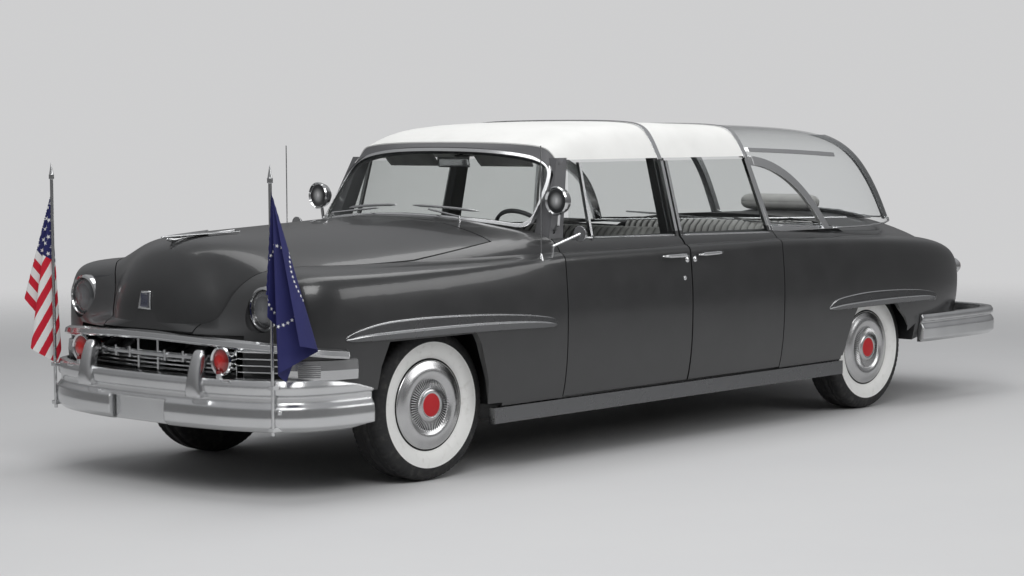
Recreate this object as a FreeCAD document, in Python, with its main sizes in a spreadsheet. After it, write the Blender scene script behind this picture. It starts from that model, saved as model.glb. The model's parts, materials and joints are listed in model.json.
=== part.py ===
import FreeCAD, Part
import Sketcher
import math
import os
import re

from FreeCAD import Placement, Rotation, Vector

# Stretch limousine: a seven-seat parade car with four doors, a white soft roof
# over the front half and a clear dome over the rear seat.
# Frame: X to the car's left, the nose towards -Y, Z up, the origin on the
# ground under the middle of the car. All lengths are millimetres.

doc = FreeCAD.newDocument("stretch_limousine")
sheet = doc.addObject("Spreadsheet::Sheet", "sizes")

SIZES = [
    # overall lengths
    ("wheelbase", 3683.0),
    ("front_overhang", 1088.0),
    ("rear_overhang", 1517.0),
    ("body_half_width", 975.0),
    # wheels and tyres
    ("track", 1520.0),
    ("tyre_radius", 365.0),
    ("tyre_width", 208.0),
    ("rim_radius", 215.0),
    ("spindle_radius", 30.0),
    ("cap_proud", 104.0),
    ("hub_depth", 28.0),
    ("kingpin_offset", 690.0),
    ("bearing_gap", 0.3),
    # lower body
    ("bonnet_height", 1205.0),
    ("belt_height", 1122.0),
    ("deck_height", 1150.0),
    ("sill_top", 328.0),
    ("sill_bottom", 245.0),
    ("floor_bottom", 240.0),
    ("floor_top", 290.0),
    ("cabin_half_width", 860.0),
    ("panel_gap", 7.0),
    ("door_taper", 6.0),
    ("panel_thickness", 34.0),
    ("bonnet_rear", 520.0),
    ("firewall_rear", 600.0),
    ("door_front_seam", 854.0),
    ("front_door_length", 1006.0),
    ("rear_seam_setback", 993.0),
    ("cabin_rear_setback", 263.0),
    ("boot_lid_setback", 560.0),
    ("boot_lid_bottom", 625.0),
    # roof and glass
    ("roof_height", 1714.0),
    ("roof_edge_height", 1512.0),
    ("roof_half_width", 755.0),
    ("roof_panel", 20.0),
    ("hoop_width", 36.0),
    ("hoop_proud", 7.0),
    ("glass", 6.0),
    # frame, engine and axle
    ("rail_spacing", 860.0),
    ("rail_width", 70.0),
    ("engine_length", 760.0),
    ("engine_width", 620.0),
    ("engine_height", 640.0),
    ("engine_bottom", 300.0),
    ("gearbox_length", 500.0),
    ("gearbox_front_radius", 190.0),
    ("gearbox_rear_radius", 100.0),
    ("gearbox_height", 420.0),
    ("radiator_width", 660.0),
    ("radiator_depth", 70.0),
    ("radiator_height", 534.0),
    ("radiator_bottom", 446.0),
    ("radiator_lead", 640.0),
    ("shelf_roll_length", 580.0),
    ("shelf_roll_radius", 52.0),
    ("axle_radius", 42.0),
    ("differential_radius", 150.0),
    ("steering_wheel_radius", 215.0),
]
DERIVED = [
    ("front_axle", "=-(wheelbase + rear_overhang - front_overhang) / 2"),
    ("rear_axle", "=wheelbase + front_axle"),
    ("wheel_plane", "=track / 2"),
]
for row, (name, value) in enumerate(SIZES + DERIVED, start=1):
    sheet.set("A%d" % row, name)
    sheet.set("B%d" % row, str(value))
    sheet.setAlias("B%d" % row, name)
doc.recompute()


def size(name):
    return float(sheet.get(name))


wheelbase = size("wheelbase")
front_axle = size("front_axle")
rear_axle = size("rear_axle")
half_width = size("body_half_width")
cabin = size("cabin_half_width")
gap = size("panel_gap")

pieces = []


def near_front(x, back, z):
    """A point measured from the front axle line: left, rearwards, up."""
    return Vector(x, front_axle + back, z)


def near_rear(x, back, z):
    """A point measured from the rear axle line: left, rearwards, up."""
    return Vector(x, rear_axle + back, z)


def keep(label, shape):
    """A finished sub-part whose shape is worked out by Part's functions."""
    piece = doc.addObject("Part::Feature", label)
    piece.Label = label
    piece.Shape = shape
    piece.Placement = Placement()
    pieces.append(piece)
    return piece


def bind(piece, **expressions):
    """Ties properties of a piece to the sheet; x, y and z are its place."""
    for name, expression in expressions.items():
        target = "Placement.Base." + name if name in "xyz" else name
        piece.setExpression(target, expression)


def primitive(kind, label, turn, **expressions):
    """A box, cylinder or cone whose sizes and place follow the sheet."""
    piece = doc.addObject("Part::" + kind, label)
    piece.Label = label
    piece.Placement = Placement(Vector(0, 0, 0), turn)
    bind(piece, **expressions)
    return piece


def turned_body(label, profile, turn, **place):
    """A body turned round its own X axis. The profile lists (along the axis,
    radius) as expressions on the sheet, and each corner is held by both."""
    body = doc.addObject("PartDesign::Body", label)
    body.Label = label
    sketch = body.newObject("Sketcher::SketchObject", label + "_profile")
    corners = []
    for a, r in profile:
        sheet.set("D1", "=" + a)
        sheet.set("D2", "=" + r)
        sheet.recompute()
        corners.append(Vector(float(sheet.get("D1")), float(sheet.get("D2")), 0))
    count = len(corners)
    for i in range(count):
        sketch.addGeometry(Part.LineSegment(corners[i], corners[(i + 1) % count]))
    for i in range(count):
        sketch.addConstraint(Sketcher.Constraint("Coincident", i, 2, (i + 1) % count, 1))
    for i, (a, r) in enumerate(profile):
        along = sketch.addConstraint(Sketcher.Constraint("DistanceX", -1, 1, i, 1, corners[i].x))
        sketch.setExpression("Constraints[%d]" % along, on_sheet(a))
        if r == "0":
            sketch.addConstraint(Sketcher.Constraint("PointOnObject", i, 1, -1))
            continue
        out = sketch.addConstraint(Sketcher.Constraint("DistanceY", -1, 1, i, 1, corners[i].y))
        sketch.setExpression("Constraints[%d]" % out, on_sheet(r))
    turning = body.newObject("PartDesign::Revolution", label + "_turned")
    turning.Profile = sketch
    turning.ReferenceAxis = (sketch, ["H_Axis"])
    turning.Angle = 360
    body.Tip = turning
    body.Placement = Placement(Vector(0, 0, 0), turn)
    bind(body, **place)
    pieces.append(body)
    return body


def on_sheet(expression):
    """An expression in sheet words, as other objects have to write it."""
    words = [name for name, _ in SIZES + DERIVED]
    parts = re.split(r"([a-z_]+)", expression)
    return "".join("sizes." + part if part in words else part for part in parts)


def box(low, high):
    return Part.makeBox(high.x - low.x, high.y - low.y, high.z - low.z, low)


def smooth(points):
    """A cubic curve pulled along by a few control points."""
    curve = Part.BSplineCurve()
    curve.buildFromPoles(points, False, min(3, len(points) - 1))
    return curve.toShape()


def flip(point):
    return Vector(-point.x, point.y, point.z)


def mirror_x(points):
    return [flip(p) for p in reversed(points)]


def mirrored(shape):
    """The mirror image of a shape across the middle of the car."""
    return shape.mirror(Vector(0, 0, 0), Vector(1, 0, 0))


def pair(shape):
    """A shape with its mirror image, as separate solids of one sub-part."""
    return Part.makeCompound([shape, mirrored(shape)])


def prism(outline, direction):
    """A closed outline of straight lines swept along a direction."""
    wire = Part.makePolygon(outline + [outline[0]])
    return Part.Face(wire).extrude(direction)


def merge(shapes):
    return shapes[0].multiFuse(shapes[1:])


def join(shapes):
    """A fusion with the leftover edges inside flat faces taken out."""
    return merge(shapes).removeSplitter()


def swept(path, profile, ruled=False):
    """A bar that follows a path: the profile's first number points away from
    the path's right-hand side, its second one up."""
    wires = []
    for i, p in enumerate(path):
        before = path[max(i - 1, 0)]
        after = path[min(i + 1, len(path) - 1)]
        along = (after - before).normalize()
        out = along.cross(Vector(0, 0, 1)).normalize()
        ring = [p + out * u + Vector(0, 0, v) for u, v in profile]
        wires.append(Part.makePolygon(ring + [ring[0]]))
    return Part.makeLoft(wires, True, ruled)


def even(points, count):
    """Evenly spaced points along the smooth curve that the given ones pull."""
    curve = smooth(points).Curve
    return curve.discretize(Number=count)


def rod(start, end, radius, sides=8):
    """A slim straight rod with flats, from one point to another."""
    along = (end - start).normalize()
    side = along.cross(Vector(0, 0, 1))
    if side.Length < 0.1:
        side = Vector(1, 0, 0)
    side.normalize()
    up = side.cross(along)
    turn = 2 * math.pi / sides
    ring = [start + side * (radius * math.cos(i * turn)) + up * (radius * math.sin(i * turn))
            for i in range(sides)]
    return prism(ring, end - start)


def tube(points, radius):
    """Slim rods end to end, each running a little into the next."""
    runs = []
    for a, b in zip(points, points[1:]):
        along = (b - a).normalize()
        runs.append(rod(a - along * (0.4 * radius), b + along * (0.4 * radius), radius))
    return merge(runs)


# Lines plan of the lower body. Each station is a distance from an axle, and
# each line gives one size of the cross-section at the stations in turn.

FRONT_STATIONS = [-1018, -1012, -955, -905, -860, -815, -750, -650, -400, 0, 450]
FRONT_STATIONS.append(size("door_front_seam"))
FRONT_WIDTH_LOSS = [660, 560, 400, 300, 190, 112, 62, 25, 8, 2, 0, 0]
CREASE_X = [90, 225, 330, 390, 430, 490, 560, 628, 702, 750, 838, 922]
CREASE_DROP = [337, 337, 337, 318, 205, 126, 86, 74, 80, 78, 73, 66]
HAUNCH_IN = [12, 12, 12, 12, 28, 40, 46, 46, 46, 46, 46, 46]
HAUNCH_RISE = [28, 70, 100, 110, 48, 20, 12, 16, 30, 38, 55, 92]
CROWN_RISE = [-365, -268, -128, -80, -60, -46, -36, -27, -15, 0, 20, 28]
CREST_RISE = [-40, -40, -30, -10, 64, 14, -6, -14, -12, -12, -14, -16]

REAR_STATIONS = [-size("rear_seam_setback"), -500, 0, 420, 700, 900, 1050]
REAR_STATIONS += [1170, 1270, 1340, 1380]
REAR_WIDTH_LOSS = [0, 0, 4, 18, 48, 92, 150, 225, 330, 480, 640]
DECK_X = [922, 905, 872, 800, 735, 668, 602, 528, 430, 300, 200]
DECK_EDGE_DROP = [96, 104, 116, 132, 156, 196, 250, 314, 396, 480, 532]
DECK_HAUNCH = [78, 60, 44, 32, 26, 22, 20, 16, 10, 6, 4]
DECK_CROWN_DROP = [-10, 0, 0, 2, 24, 66, 124, 200, 300, 415, 505]
REAR_UNDERSIDE = [0, 0, 0, 60, 110, 140, 160, 180, 200, 220, 235]
WAIST_HEIGHT = 700.0


def section(point, width, low, edge, haunch, crown, crest, haunch_in=46):
    """Control points of a cross-section of the body: one flank, from the sill
    up to the shut line, and half of the deck between the shut lines."""
    edge_x, edge_z = edge
    waist = min(WAIST_HEIGHT, (edge_z + low) / 2 + 15)
    shoulder = edge_x + 0.72 * (width - edge_x)
    flank = [
        point(width - 40, low),
        point(width - 8, low + 0.30 * (waist - low)),
        point(width + 4, waist),
        point(width, waist + 0.45 * (edge_z - waist)),
        point(width - 16, waist + 0.86 * (edge_z - waist)),
        point(shoulder, edge_z + crest),
        point(edge_x, edge_z),
    ]
    deck = [
        point(edge_x, edge_z),
        point(edge_x - haunch_in, edge_z + haunch),
        point(0.66 * edge_x, edge_z + haunch + 0.62 * (crown - edge_z - haunch)),
        point(0.32 * edge_x, crown + 4),
    ]
    return flank, deck


def skin(rows):
    """A smooth surface drawn along by a net of control points: one row for
    each station of the body."""
    surface = Part.BSplineSurface()
    degree = min(3, len(rows) - 1)
    spans = len(rows) - degree
    strips = len(rows[0]) - 3
    surface.buildFromPolesMultsKnots(
        rows,
        [degree + 1] + [1] * (spans - 1) + [degree + 1],
        [4] + [1] * (strips - 1) + [4],
        [i / spans for i in range(spans + 1)],
        [i / strips for i in range(strips + 1)],
        False, False, degree, 3)
    return surface.toShape()


def thick_skin(outer, inner):
    """A closed sheet between two skins drawn from nets of the same size."""
    faces = [skin(outer), skin(inner)]
    for pick in (lambda rows: rows[0], lambda rows: rows[-1],
                 lambda rows: [r[0] for r in rows], lambda rows: [r[-1] for r in rows]):
        faces.append(Part.makeRuledSurface(smooth(pick(outer)), smooth(pick(inner))))
    shell = Part.Shell(faces)
    shell.sewShape()
    body = Part.Solid(Part.Shell(shell.Faces))
    if body.Volume < 0:
        body.reverse()
    return body


def end_wire(flank, deck):
    """The closed outline of one cross-section."""
    left_flank = mirror_x(flank)
    under = Part.makeLine(left_flank[-1], flank[0])
    return Part.Wire([smooth(flank), smooth(deck + mirror_x(deck)),
                      smooth(left_flank), under])


def hull(sections):
    """A closed body skinned over its cross-sections."""
    flanks = [flank for flank, deck in sections]
    faces = [skin(flanks), skin([mirror_x(flank) for flank in flanks])]
    faces.append(skin([deck + mirror_x(deck) for flank, deck in sections]))
    sill = smooth([flank[0] for flank in flanks])
    far_sill = smooth([flip(flank[0]) for flank in flanks])
    faces.append(Part.makeRuledSurface(sill, far_sill))
    faces.append(Part.Face(end_wire(*sections[0])))
    faces.append(Part.Face(end_wire(*sections[-1])))
    shell = Part.Shell(faces)
    shell.sewShape()
    body = Part.Solid(Part.Shell(shell.Faces))
    if body.Volume < 0:
        body.reverse()
    return body


def front_section(i, inset=0.0):
    def point(x, z):
        return near_front(x, FRONT_STATIONS[i] + inset, z)

    crease = (CREASE_X[i] - inset, size("belt_height") - CREASE_DROP[i] - inset)
    crown = size("bonnet_height") + CROWN_RISE[i] - inset
    width = half_width - FRONT_WIDTH_LOSS[i] - inset
    return section(point, width, size("sill_top"), crease, HAUNCH_RISE[i],
                   crown, CREST_RISE[i], HAUNCH_IN[i])


def rear_section(i, inset=0.0):
    def point(x, z):
        return near_rear(x, REAR_STATIONS[i] - inset, z)

    deck = size("deck_height") - inset
    edge = (DECK_X[i] - inset, deck - DECK_EDGE_DROP[i])
    width = half_width - REAR_WIDTH_LOSS[i] - inset
    low = size("sill_top") + REAR_UNDERSIDE[i] + inset
    return section(point, width, low, edge, DECK_HAUNCH[i],
                   deck - DECK_CROWN_DROP[i], -8)


front_sections = [front_section(i) for i in range(len(FRONT_STATIONS))]
rear_sections = [rear_section(i) for i in range(len(REAR_STATIONS))]
front_hull = hull(front_sections)
rear_hull = hull(rear_sections)
middle_ends = [end_wire(*front_sections[-1]), end_wire(*rear_sections[0])]
middle_hull = Part.makeLoft(middle_ends, True, True)

door_front = size("door_front_seam")
door_middle = door_front + size("front_door_length")
door_rear = wheelbase - size("rear_seam_setback")
sill_top = size("sill_top")
sill_bottom = size("sill_bottom")
floor_top = size("floor_top")
floor_bottom = size("floor_bottom")
thickness = size("panel_thickness")
bonnet_rear = size("bonnet_rear")
SKY = 1900.0


# Bonnet: the deck ahead of the cowl, between the two shut lines. It wraps down
# over the nose, and its block is also what is cut out of the wings. Behind the
# axle line the shut lines run nearly parallel, so that the bonnet can swing.

NOSE_FRONT = -1040.0
NOSE_REAR = -955.0
NOSE_BOTTOM = 752.5
BONNET_GAP = 7.5
SHUT_STATIONS = FRONT_STATIONS[:10] + [bonnet_rear]
SHUT_X = [x - 3 for x in CREASE_X[:10]] + [757]
SHUT_DROP = CREASE_DROP[:10] + [-2]


def bonnet_block(grow):
    """The space of the bonnet, made larger by grow on every side that meets
    the wings, the cowl or the grille."""
    rows = []
    for back, x, drop, rise in zip(SHUT_STATIONS, SHUT_X, SHUT_DROP, CROWN_RISE):
        y = back + grow if back == bonnet_rear else back
        edge_x = x + grow
        deep = thickness + 3 * grow
        edge_z = size("belt_height") - drop - deep
        crown = size("bonnet_height") + rise - deep
        ring = [near_front(edge_x, y, SKY), near_front(edge_x, y, edge_z),
                near_front(0.5 * edge_x, y, (edge_z + 2 * crown) / 3),
                near_front(0, y, crown)]
        ring += [flip(p) for p in reversed(ring[:-1])]
        rows.append(Part.makePolygon(ring + [ring[0]]))
    main = Part.makeLoft(rows, True, True)
    nose_x = SHUT_X[2] + grow
    nose = box(near_front(-nose_x, NOSE_FRONT, NOSE_BOTTOM - grow),
               near_front(nose_x, NOSE_REAR + grow, SKY))
    return main.fuse(nose)


bonnet = front_hull.common(bonnet_block(0.0))
bonnet_space = bonnet_block(BONNET_GAP)


# Two raised creases run down the prow, one each side of the middle.

CREASE_BEAD = [(98, 1062), (104, 1020), (112, 975), (135, 935), (172, 900), (235, 866), (318, 838)]
BEAD_RADIUS = 6.0


def on_prow(x, z):
    """The foremost point of the nose at a place seen from ahead."""
    probe = Part.makeLine(near_front(x, -1100, z), near_front(x, -760, z))
    hits = probe.common(front_hull).Vertexes
    return near_front(x, min(v.Y for v in hits) - front_axle + 2, z)


bead_path = smooth([on_prow(x, z) for x, z in CREASE_BEAD])
bead_start = bead_path.valueAt(bead_path.FirstParameter)
bead_along = bead_path.tangentAt(bead_path.FirstParameter)
bead_ring = Part.Wire(Part.makeCircle(BEAD_RADIUS, bead_start, bead_along))
bead = Part.Wire(bead_path).makePipeShell([bead_ring], True, False)
bead = bead.common(bonnet_block(0.0))
bonnet = merge([bonnet, bead, mirrored(bead)])

# Wheel arches: an inner housing with a tall, flat-topped opening through the
# skin, whose outlines are measured from the wheel centre.

FRONT_ARCH = [(-450, 100), (-446, 450), (-420, 590), (-370, 700), (200, 700),
              (231, 650), (292, 467), (312, 330), (312, 100)]
REAR_ARCH = [(-382, 100), (-376, 350), (-345, 480), (-303, 570), (-262, 632),
             (150, 632), (190, 590), (262, 530), (300, 480), (300, 100)]
SKIN_INSIDE = half_width - 36


def arch_cut(outline, housing_x, front, back, top, centre):
    """The hole for one left wheel: outline through the skin, housing inside."""
    points = [centre + Vector(housing_x, a, z) for a, z in outline]
    opening = prism(points, Vector(SKY, 0, 0))
    housing = box(centre + Vector(housing_x, front, 0),
                  centre + Vector(SKIN_INSIDE, back, top))
    return opening.fuse(housing)


front_arch = arch_cut(FRONT_ARCH, 440, -440, 412, 790, Vector(0, front_axle, 0))
rear_arch = arch_cut(REAR_ARCH, 560, -390, 390, 780, Vector(0, rear_axle, 0))
arches = [front_arch, mirrored(front_arch), rear_arch, mirrored(rear_arch)]

# Front wings, with the fixed body around the grille and the headlamps.

BAY_HALF_WIDTH = 430.0
HEADLAMP = near_front(670, -862, 865)
HEADLAMP_RADIUS = 105.0
NOSE_BAY_HALF_WIDTH = 300.0
GRILLE_MOUTH_TOP = 745.0
engine_bay = box(near_front(-BAY_HALF_WIDTH, -800, 0),
                 near_front(BAY_HALF_WIDTH, bonnet_rear, SKY))
engine_bay = engine_bay.fuse(box(near_front(-NOSE_BAY_HALF_WIDTH, NOSE_REAR, 0),
                                 near_front(NOSE_BAY_HALF_WIDTH, -790, SKY)))
grille_mouth = box(near_front(-600, -1100, 0), near_front(600, -850, GRILLE_MOUTH_TOP))
tie_bars = [box(near_front(-310, -850, z), near_front(310, -810, z + 42)) for z in (490, 700)]
lower_front = box(near_front(-1000, -1100, 0), near_front(1000, -430, 485))
lamp_bore = Part.makeCylinder(HEADLAMP_RADIUS, 150, HEADLAMP - Vector(0, 80, 0),
                              Vector(0, 1, 0))
cowl_block = box(near_front(-810, bonnet_rear, 0),
                 near_front(810, door_front, SKY))
cabin_back = wheelbase - size("cabin_rear_setback")
COWL_UNDERSIDE = 1060.0
COWL_EDGE = [(0, 672), (420, 700), (720, 800), (860, 845)]
cowl_line = [near_front(x, back, COWL_UNDERSIDE) for x, back in COWL_EDGE]
cowl_line = mirror_x(cowl_line[1:]) + cowl_line
cowl_line += [near_front(860, cabin_back, COWL_UNDERSIDE),
              near_front(-860, cabin_back, COWL_UNDERSIDE)]
cabin_space = box(near_front(-cabin, size("firewall_rear"), floor_top),
                  near_front(cabin, cabin_back, COWL_UNDERSIDE))
cabin_space = cabin_space.fuse(prism(cowl_line, Vector(0, 0, SKY)))
wings = front_hull.cut([bonnet_space, engine_bay, grille_mouth, lower_front,
                        lamp_bore, mirrored(lamp_bore), cowl_block,
                        cabin_space] + arches)
wings = join([wings] + tie_bars)

# Boot lid: the deck behind the dome, hinged at its front edge. Its sides run
# parallel at both ends, where the lid slides along them as it opens.

LID_PLAN = [(520, 0), (520, 700), (440, 1120), (440, 1420)]
LID_GAP = 9.5
rear_inner = hull([rear_section(i, thickness) for i in range(len(REAR_STATIONS))])


def lid_block(grow):
    front = size("boot_lid_setback") - grow
    bottom = size("boot_lid_bottom") - grow
    half = [near_rear(x + grow, max(back, front), bottom) for x, back in LID_PLAN]
    return prism(half + mirror_x(half), Vector(0, 0, SKY))


boot_lid = rear_hull.cut(rear_inner).common(lid_block(0.0))

# Body tub: cowl, floor, sills, rear quarters and tail in one shell.

BOOT_FRONT = -200.0
boot_floor = 560.0
boot_space = rear_inner.common(box(near_rear(-545, BOOT_FRONT, boot_floor),
                                   near_rear(545, 1300, SKY)))
cowl = front_hull.common(cowl_block).cut(bonnet_space)
rear_arch_front = wheelbase - 390
FLOOR_REAR = 2915.0
floor = box(near_front(-905, bonnet_rear, floor_bottom),
            near_front(905, FLOOR_REAR, floor_top))
side_floor = box(near_front(520, FLOOR_REAR - 5, floor_bottom),
                 near_front(905, rear_arch_front, floor_top))
toe_board = box(near_front(-810, bonnet_rear, floor_bottom),
                near_front(810, size("firewall_rear"), sill_top + 20))
KICK = [(2870, 290), (3190, 552), (3480, 552), (3480, 518), (3205, 518), (2915, 240)]
kick_up = prism([near_front(-560, a, z) for a, z in KICK], Vector(1120, 0, 0))
sill = box(near_front(cabin - 60, door_front, floor_bottom),
           near_front(905, door_rear, sill_top))
quarter_sill = box(near_front(cabin, door_rear, floor_bottom),
                   near_front(905, rear_arch_front, sill_top + 20))
post_foot = box(near_front(cabin - 62, door_middle - 55, floor_top),
                near_front(cabin - gap, door_middle + 55, size("belt_height") - 10))
hinge_post = box(near_front(790, 800, floor_top),
                 near_front(cabin - gap, 958, size("belt_height") - 6))
wheelhouse = box(near_front(520, rear_arch_front - 45, floor_top),
                 near_front(cabin + 40, cabin_back + 60, 825))
shell = join([cowl, rear_hull]).cut([cabin_space, boot_space, lid_block(LID_GAP)])
tub = join([shell, floor, side_floor, mirrored(side_floor), toe_board, kick_up,
            sill, mirrored(sill), quarter_sill, mirrored(quarter_sill), wheelhouse, mirrored(wheelhouse)])
tub = tub.cut(arches[2:])
tub = join([tub, post_foot, mirrored(post_foot), hinge_post, mirrored(hinge_post)])
wings = wings.cut([hinge_post, mirrored(hinge_post)])

# Doors: the body side between the seams, as thick as the cabin wall. The free
# edges taper inwards so that a door clears its neighbour as it swings.

HANDLE_HEIGHT = 1003.0
HANDLE_LENGTH = 150.0
FRAME_WIDTH = 22.0
taper = size("door_taper")
belt = size("belt_height")
belt_inner = Vector(cabin + 22, 0, belt - 45)
roof_edge = Vector(size("roof_half_width") + 14, 0, size("roof_edge_height") - 14)
glass = size("glass")


def leaning_panel(front_low, back_low, front_high, back_high, thick, inset=0.0):
    """A flat panel over the belt that leans in towards the roof. The four
    numbers are distances behind the front axle of its corners."""
    corners = [Vector(belt_inner.x, front_axle + front_low, belt_inner.z),
               Vector(belt_inner.x, front_axle + back_low, belt_inner.z),
               Vector(roof_edge.x, front_axle + back_high, roof_edge.z),
               Vector(roof_edge.x, front_axle + front_high, roof_edge.z)]
    corners = [c + Vector(inset, 0, 0) for c in corners]
    return prism(corners, Vector(thick, 0, 0))


def door_slab(front, back, taper_front, taper_back):
    """The slab between two seams; a tapered end is narrower at its inner face."""
    outer_x = half_width + 30
    inner_front = front + taper_front
    inner_back = back - taper_back
    outline = [near_front(cabin, inner_front, 0), near_front(cabin, inner_back, 0),
               near_front(outer_x, back, 0), near_front(outer_x, front, 0)]
    block = prism(outline, Vector(0, 0, SKY))
    above_sill = box(near_front(0, 0, sill_top + gap), near_front(1200, 5000, SKY))
    block = block.common(above_sill)
    return middle_hull.common(block)


def handle(centre_back):
    """A pull handle: a bar on two posts, standing off the door skin."""
    x = half_width - 12
    low = near_front(x + 26, centre_back - HANDLE_LENGTH / 2, HANDLE_HEIGHT)
    bar = Part.makeCylinder(8, HANDLE_LENGTH, low, Vector(0, 1, 0))
    posts = [Part.makeCylinder(9, 40, low + Vector(-40, a, 0), Vector(1, 0, 0))
             for a in (16, HANDLE_LENGTH - 16)]
    return bar.multiFuse(posts)


POST_LEAN = 80.0
seam_half = gap / 2
front_door = door_slab(door_front + gap, door_middle - seam_half, 0, taper)
rear_door = door_slab(door_middle + seam_half, door_rear - gap, taper, 0)
handle_gap = 150.0
front_door = front_door.fuse(handle(door_middle - handle_gap))
rear_door = rear_door.fuse(handle(door_middle + handle_gap))

# Window frames are bright channels that stand on the doors.
vent_low = door_front + 290
vent_high = vent_low + 23
front_glass_start = door_front + 118
frame_rear = door_middle - seam_half - 4
rear_frame_front = door_middle + seam_half + 4
rear_frame_back = door_rear - gap - 10


def frame_bar(low, high, width=FRAME_WIDTH):
    return leaning_panel(low, low + width, high, high + width, 20, -10)


front_frame = join([
    frame_bar(frame_rear - FRAME_WIDTH, frame_rear - FRAME_WIDTH),
    frame_bar(vent_low, vent_high, 16)])
rear_frame = join([
    frame_bar(rear_frame_front, rear_frame_front),
    frame_bar(rear_frame_back - FRAME_WIDTH, rear_frame_back - FRAME_WIDTH - POST_LEAN)])
front_door = join([front_door, front_frame])
rear_door = join([rear_door, rear_frame])
front_pane = leaning_panel(vent_low + 16, frame_rear - FRAME_WIDTH,
                           vent_high + 16, frame_rear - FRAME_WIDTH, glass, -glass / 2)
vent_pane = leaning_panel(front_glass_start, vent_low,
                          front_glass_start + 125, vent_high, glass, -glass / 2)
rear_pane = leaning_panel(rear_frame_front + FRAME_WIDTH, rear_frame_back - FRAME_WIDTH,
                          rear_frame_front + FRAME_WIDTH,
                          rear_frame_back - FRAME_WIDTH - POST_LEAN, glass, -glass / 2)
front_pane = Part.makeCompound([front_pane.cut(front_door), vent_pane.cut(front_door)])
rear_pane = rear_pane.cut(rear_door)

# Roof: two white panels between three stations, carried by bright hoops.

ROOF_STATIONS = [975, 1085, 1230, 1480, door_middle - 12, 2240, 2612]
ROOF_DROP = [107, 57, 24, 6, 0, 8, 18]
ROOF_SWEEP = [75, 45, 15, 0, 0, 0, 0]
ROOF_NARROWING = [26, 8, 0, 0, 0, 0, 0]
HOOP_AT = [4, 6]


def roof_ring(i, inset, shift=0.0, foot=0.0):
    """Control points of half the roof section at station i, from its edge up
    to the crown. The front edge sweeps back towards its corners."""
    half = size("roof_half_width") - ROOF_NARROWING[i] - inset
    top = size("roof_height") - ROOF_DROP[i] - inset
    edge = size("roof_edge_height") + foot
    rise = top - edge
    plan = [(half, edge), (half - 38, edge + min(72, 0.6 * rise)),
            (half - 92, top - min(38, 0.25 * rise)), (half - 215, top - 10),
            (0.36 * half, top - 1)]
    back = ROOF_STATIONS[i] + shift
    return [near_front(x, back + ROOF_SWEEP[i] * (x / half) ** 2, z) for x, z in plan]


def across_car(half_rows):
    """Whole rows of control points from rows that stop at the middle."""
    return [half + mirror_x(half) for half in half_rows]


def arch_wire(outer, inner):
    """The closed outline of a bow across the car, given as two half curves."""
    upper = smooth(outer + mirror_x(outer))
    lower = smooth(inner + mirror_x(inner))
    feet = [Part.makeLine(outer[0], inner[0]),
            Part.makeLine(flip(outer[0]), flip(inner[0]))]
    return Part.Wire(Part.__sortEdges__([upper, feet[1], lower, feet[0]]))


def roof_band(first, last):
    """A strip of roof between two stations."""
    stations = range(first, last + 1)
    outer = [roof_ring(i, 0) for i in stations]
    inner = [roof_ring(i, size("roof_panel")) for i in stations]
    return thick_skin(across_car(outer), across_car(inner))


def hoop(i):
    wires = []
    for shift in (-size("hoop_width") / 2, size("hoop_width") / 2):
        out = roof_ring(i, -size("hoop_proud"), shift, -8)
        low = roof_ring(i, size("roof_panel") + 6, shift, -8)
        wires.append(arch_wire(out, low))
    return Part.makeLoft(wires, True, True)


hoops = [hoop(i) for i in HOOP_AT]
white_front = roof_band(0, HOOP_AT[0])
white_back = roof_band(HOOP_AT[0], HOOP_AT[1])
roof = Part.makeCompound([white_front.cut(hoops), white_back.cut(hoops)])

# Posts: the fixed pillar between the doors and the thin post behind them.
post_back = door_middle + 48
post_top = size("roof_edge_height") + 10


def quad(x_in, x_out, front, back, z):
    ring = [near_front(x_in, front, z), near_front(x_out, front, z),
            near_front(x_out, back, z), near_front(x_in, back, z)]
    return Part.makePolygon(ring + [ring[0]])


side_post = Part.makeLoft([quad(800, cabin - gap, door_middle - 55, door_middle + 55, belt - 20),
                           quad(690, 742, door_middle - 50, door_middle + 36, post_top)],
                          True, True)
rear_post = Part.makeLoft([quad(cabin + 2, cabin + 24, door_rear + 4, door_rear + 30, belt - 60),
                           quad(735, 757, 2600, 2626, post_top)], True, True)
side_post = side_post.cut(hoops + [roof])
tub = join([tub, side_post, mirrored(side_post)])
rear_post = rear_post.cut(hoops + [tub])

# Windscreen: one curved sheet in a bright frame, cut to its outline as seen
# from ahead.

SCREEN_LOW = 1120.0
SCREEN_TOP = 1640.0
SCREEN_RAKE = 0.80


def screen_sheet(offset, thick):
    """A ruled sheet between a low and a high arc, both bowed forwards."""
    arcs = []
    for z in (SCREEN_LOW, SCREEN_TOP):
        middle = 648 + SCREEN_RAKE * (z - 1228) + offset
        side = middle + 175 - 0.05 * (z - SCREEN_LOW)
        for depth in (0.0, thick):
            centre = near_front(0, middle + depth, z)
            corner = near_front(760, side + depth + 25, z)
            arc = Part.Arc(corner, centre, flip(corner)).toShape()
            arcs.append(arc)
    loops = []
    for front, back in (arcs[:2], arcs[2:]):
        ends = [(front.Vertexes[0].Point, back.Vertexes[0].Point),
                (front.Vertexes[-1].Point, back.Vertexes[-1].Point)]
        lines = [Part.makeLine(a, b) for a, b in ends]
        loops.append(Part.Wire(Part.__sortEdges__([front, back] + lines)))
    return Part.makeLoft(loops, True, True)


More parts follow.
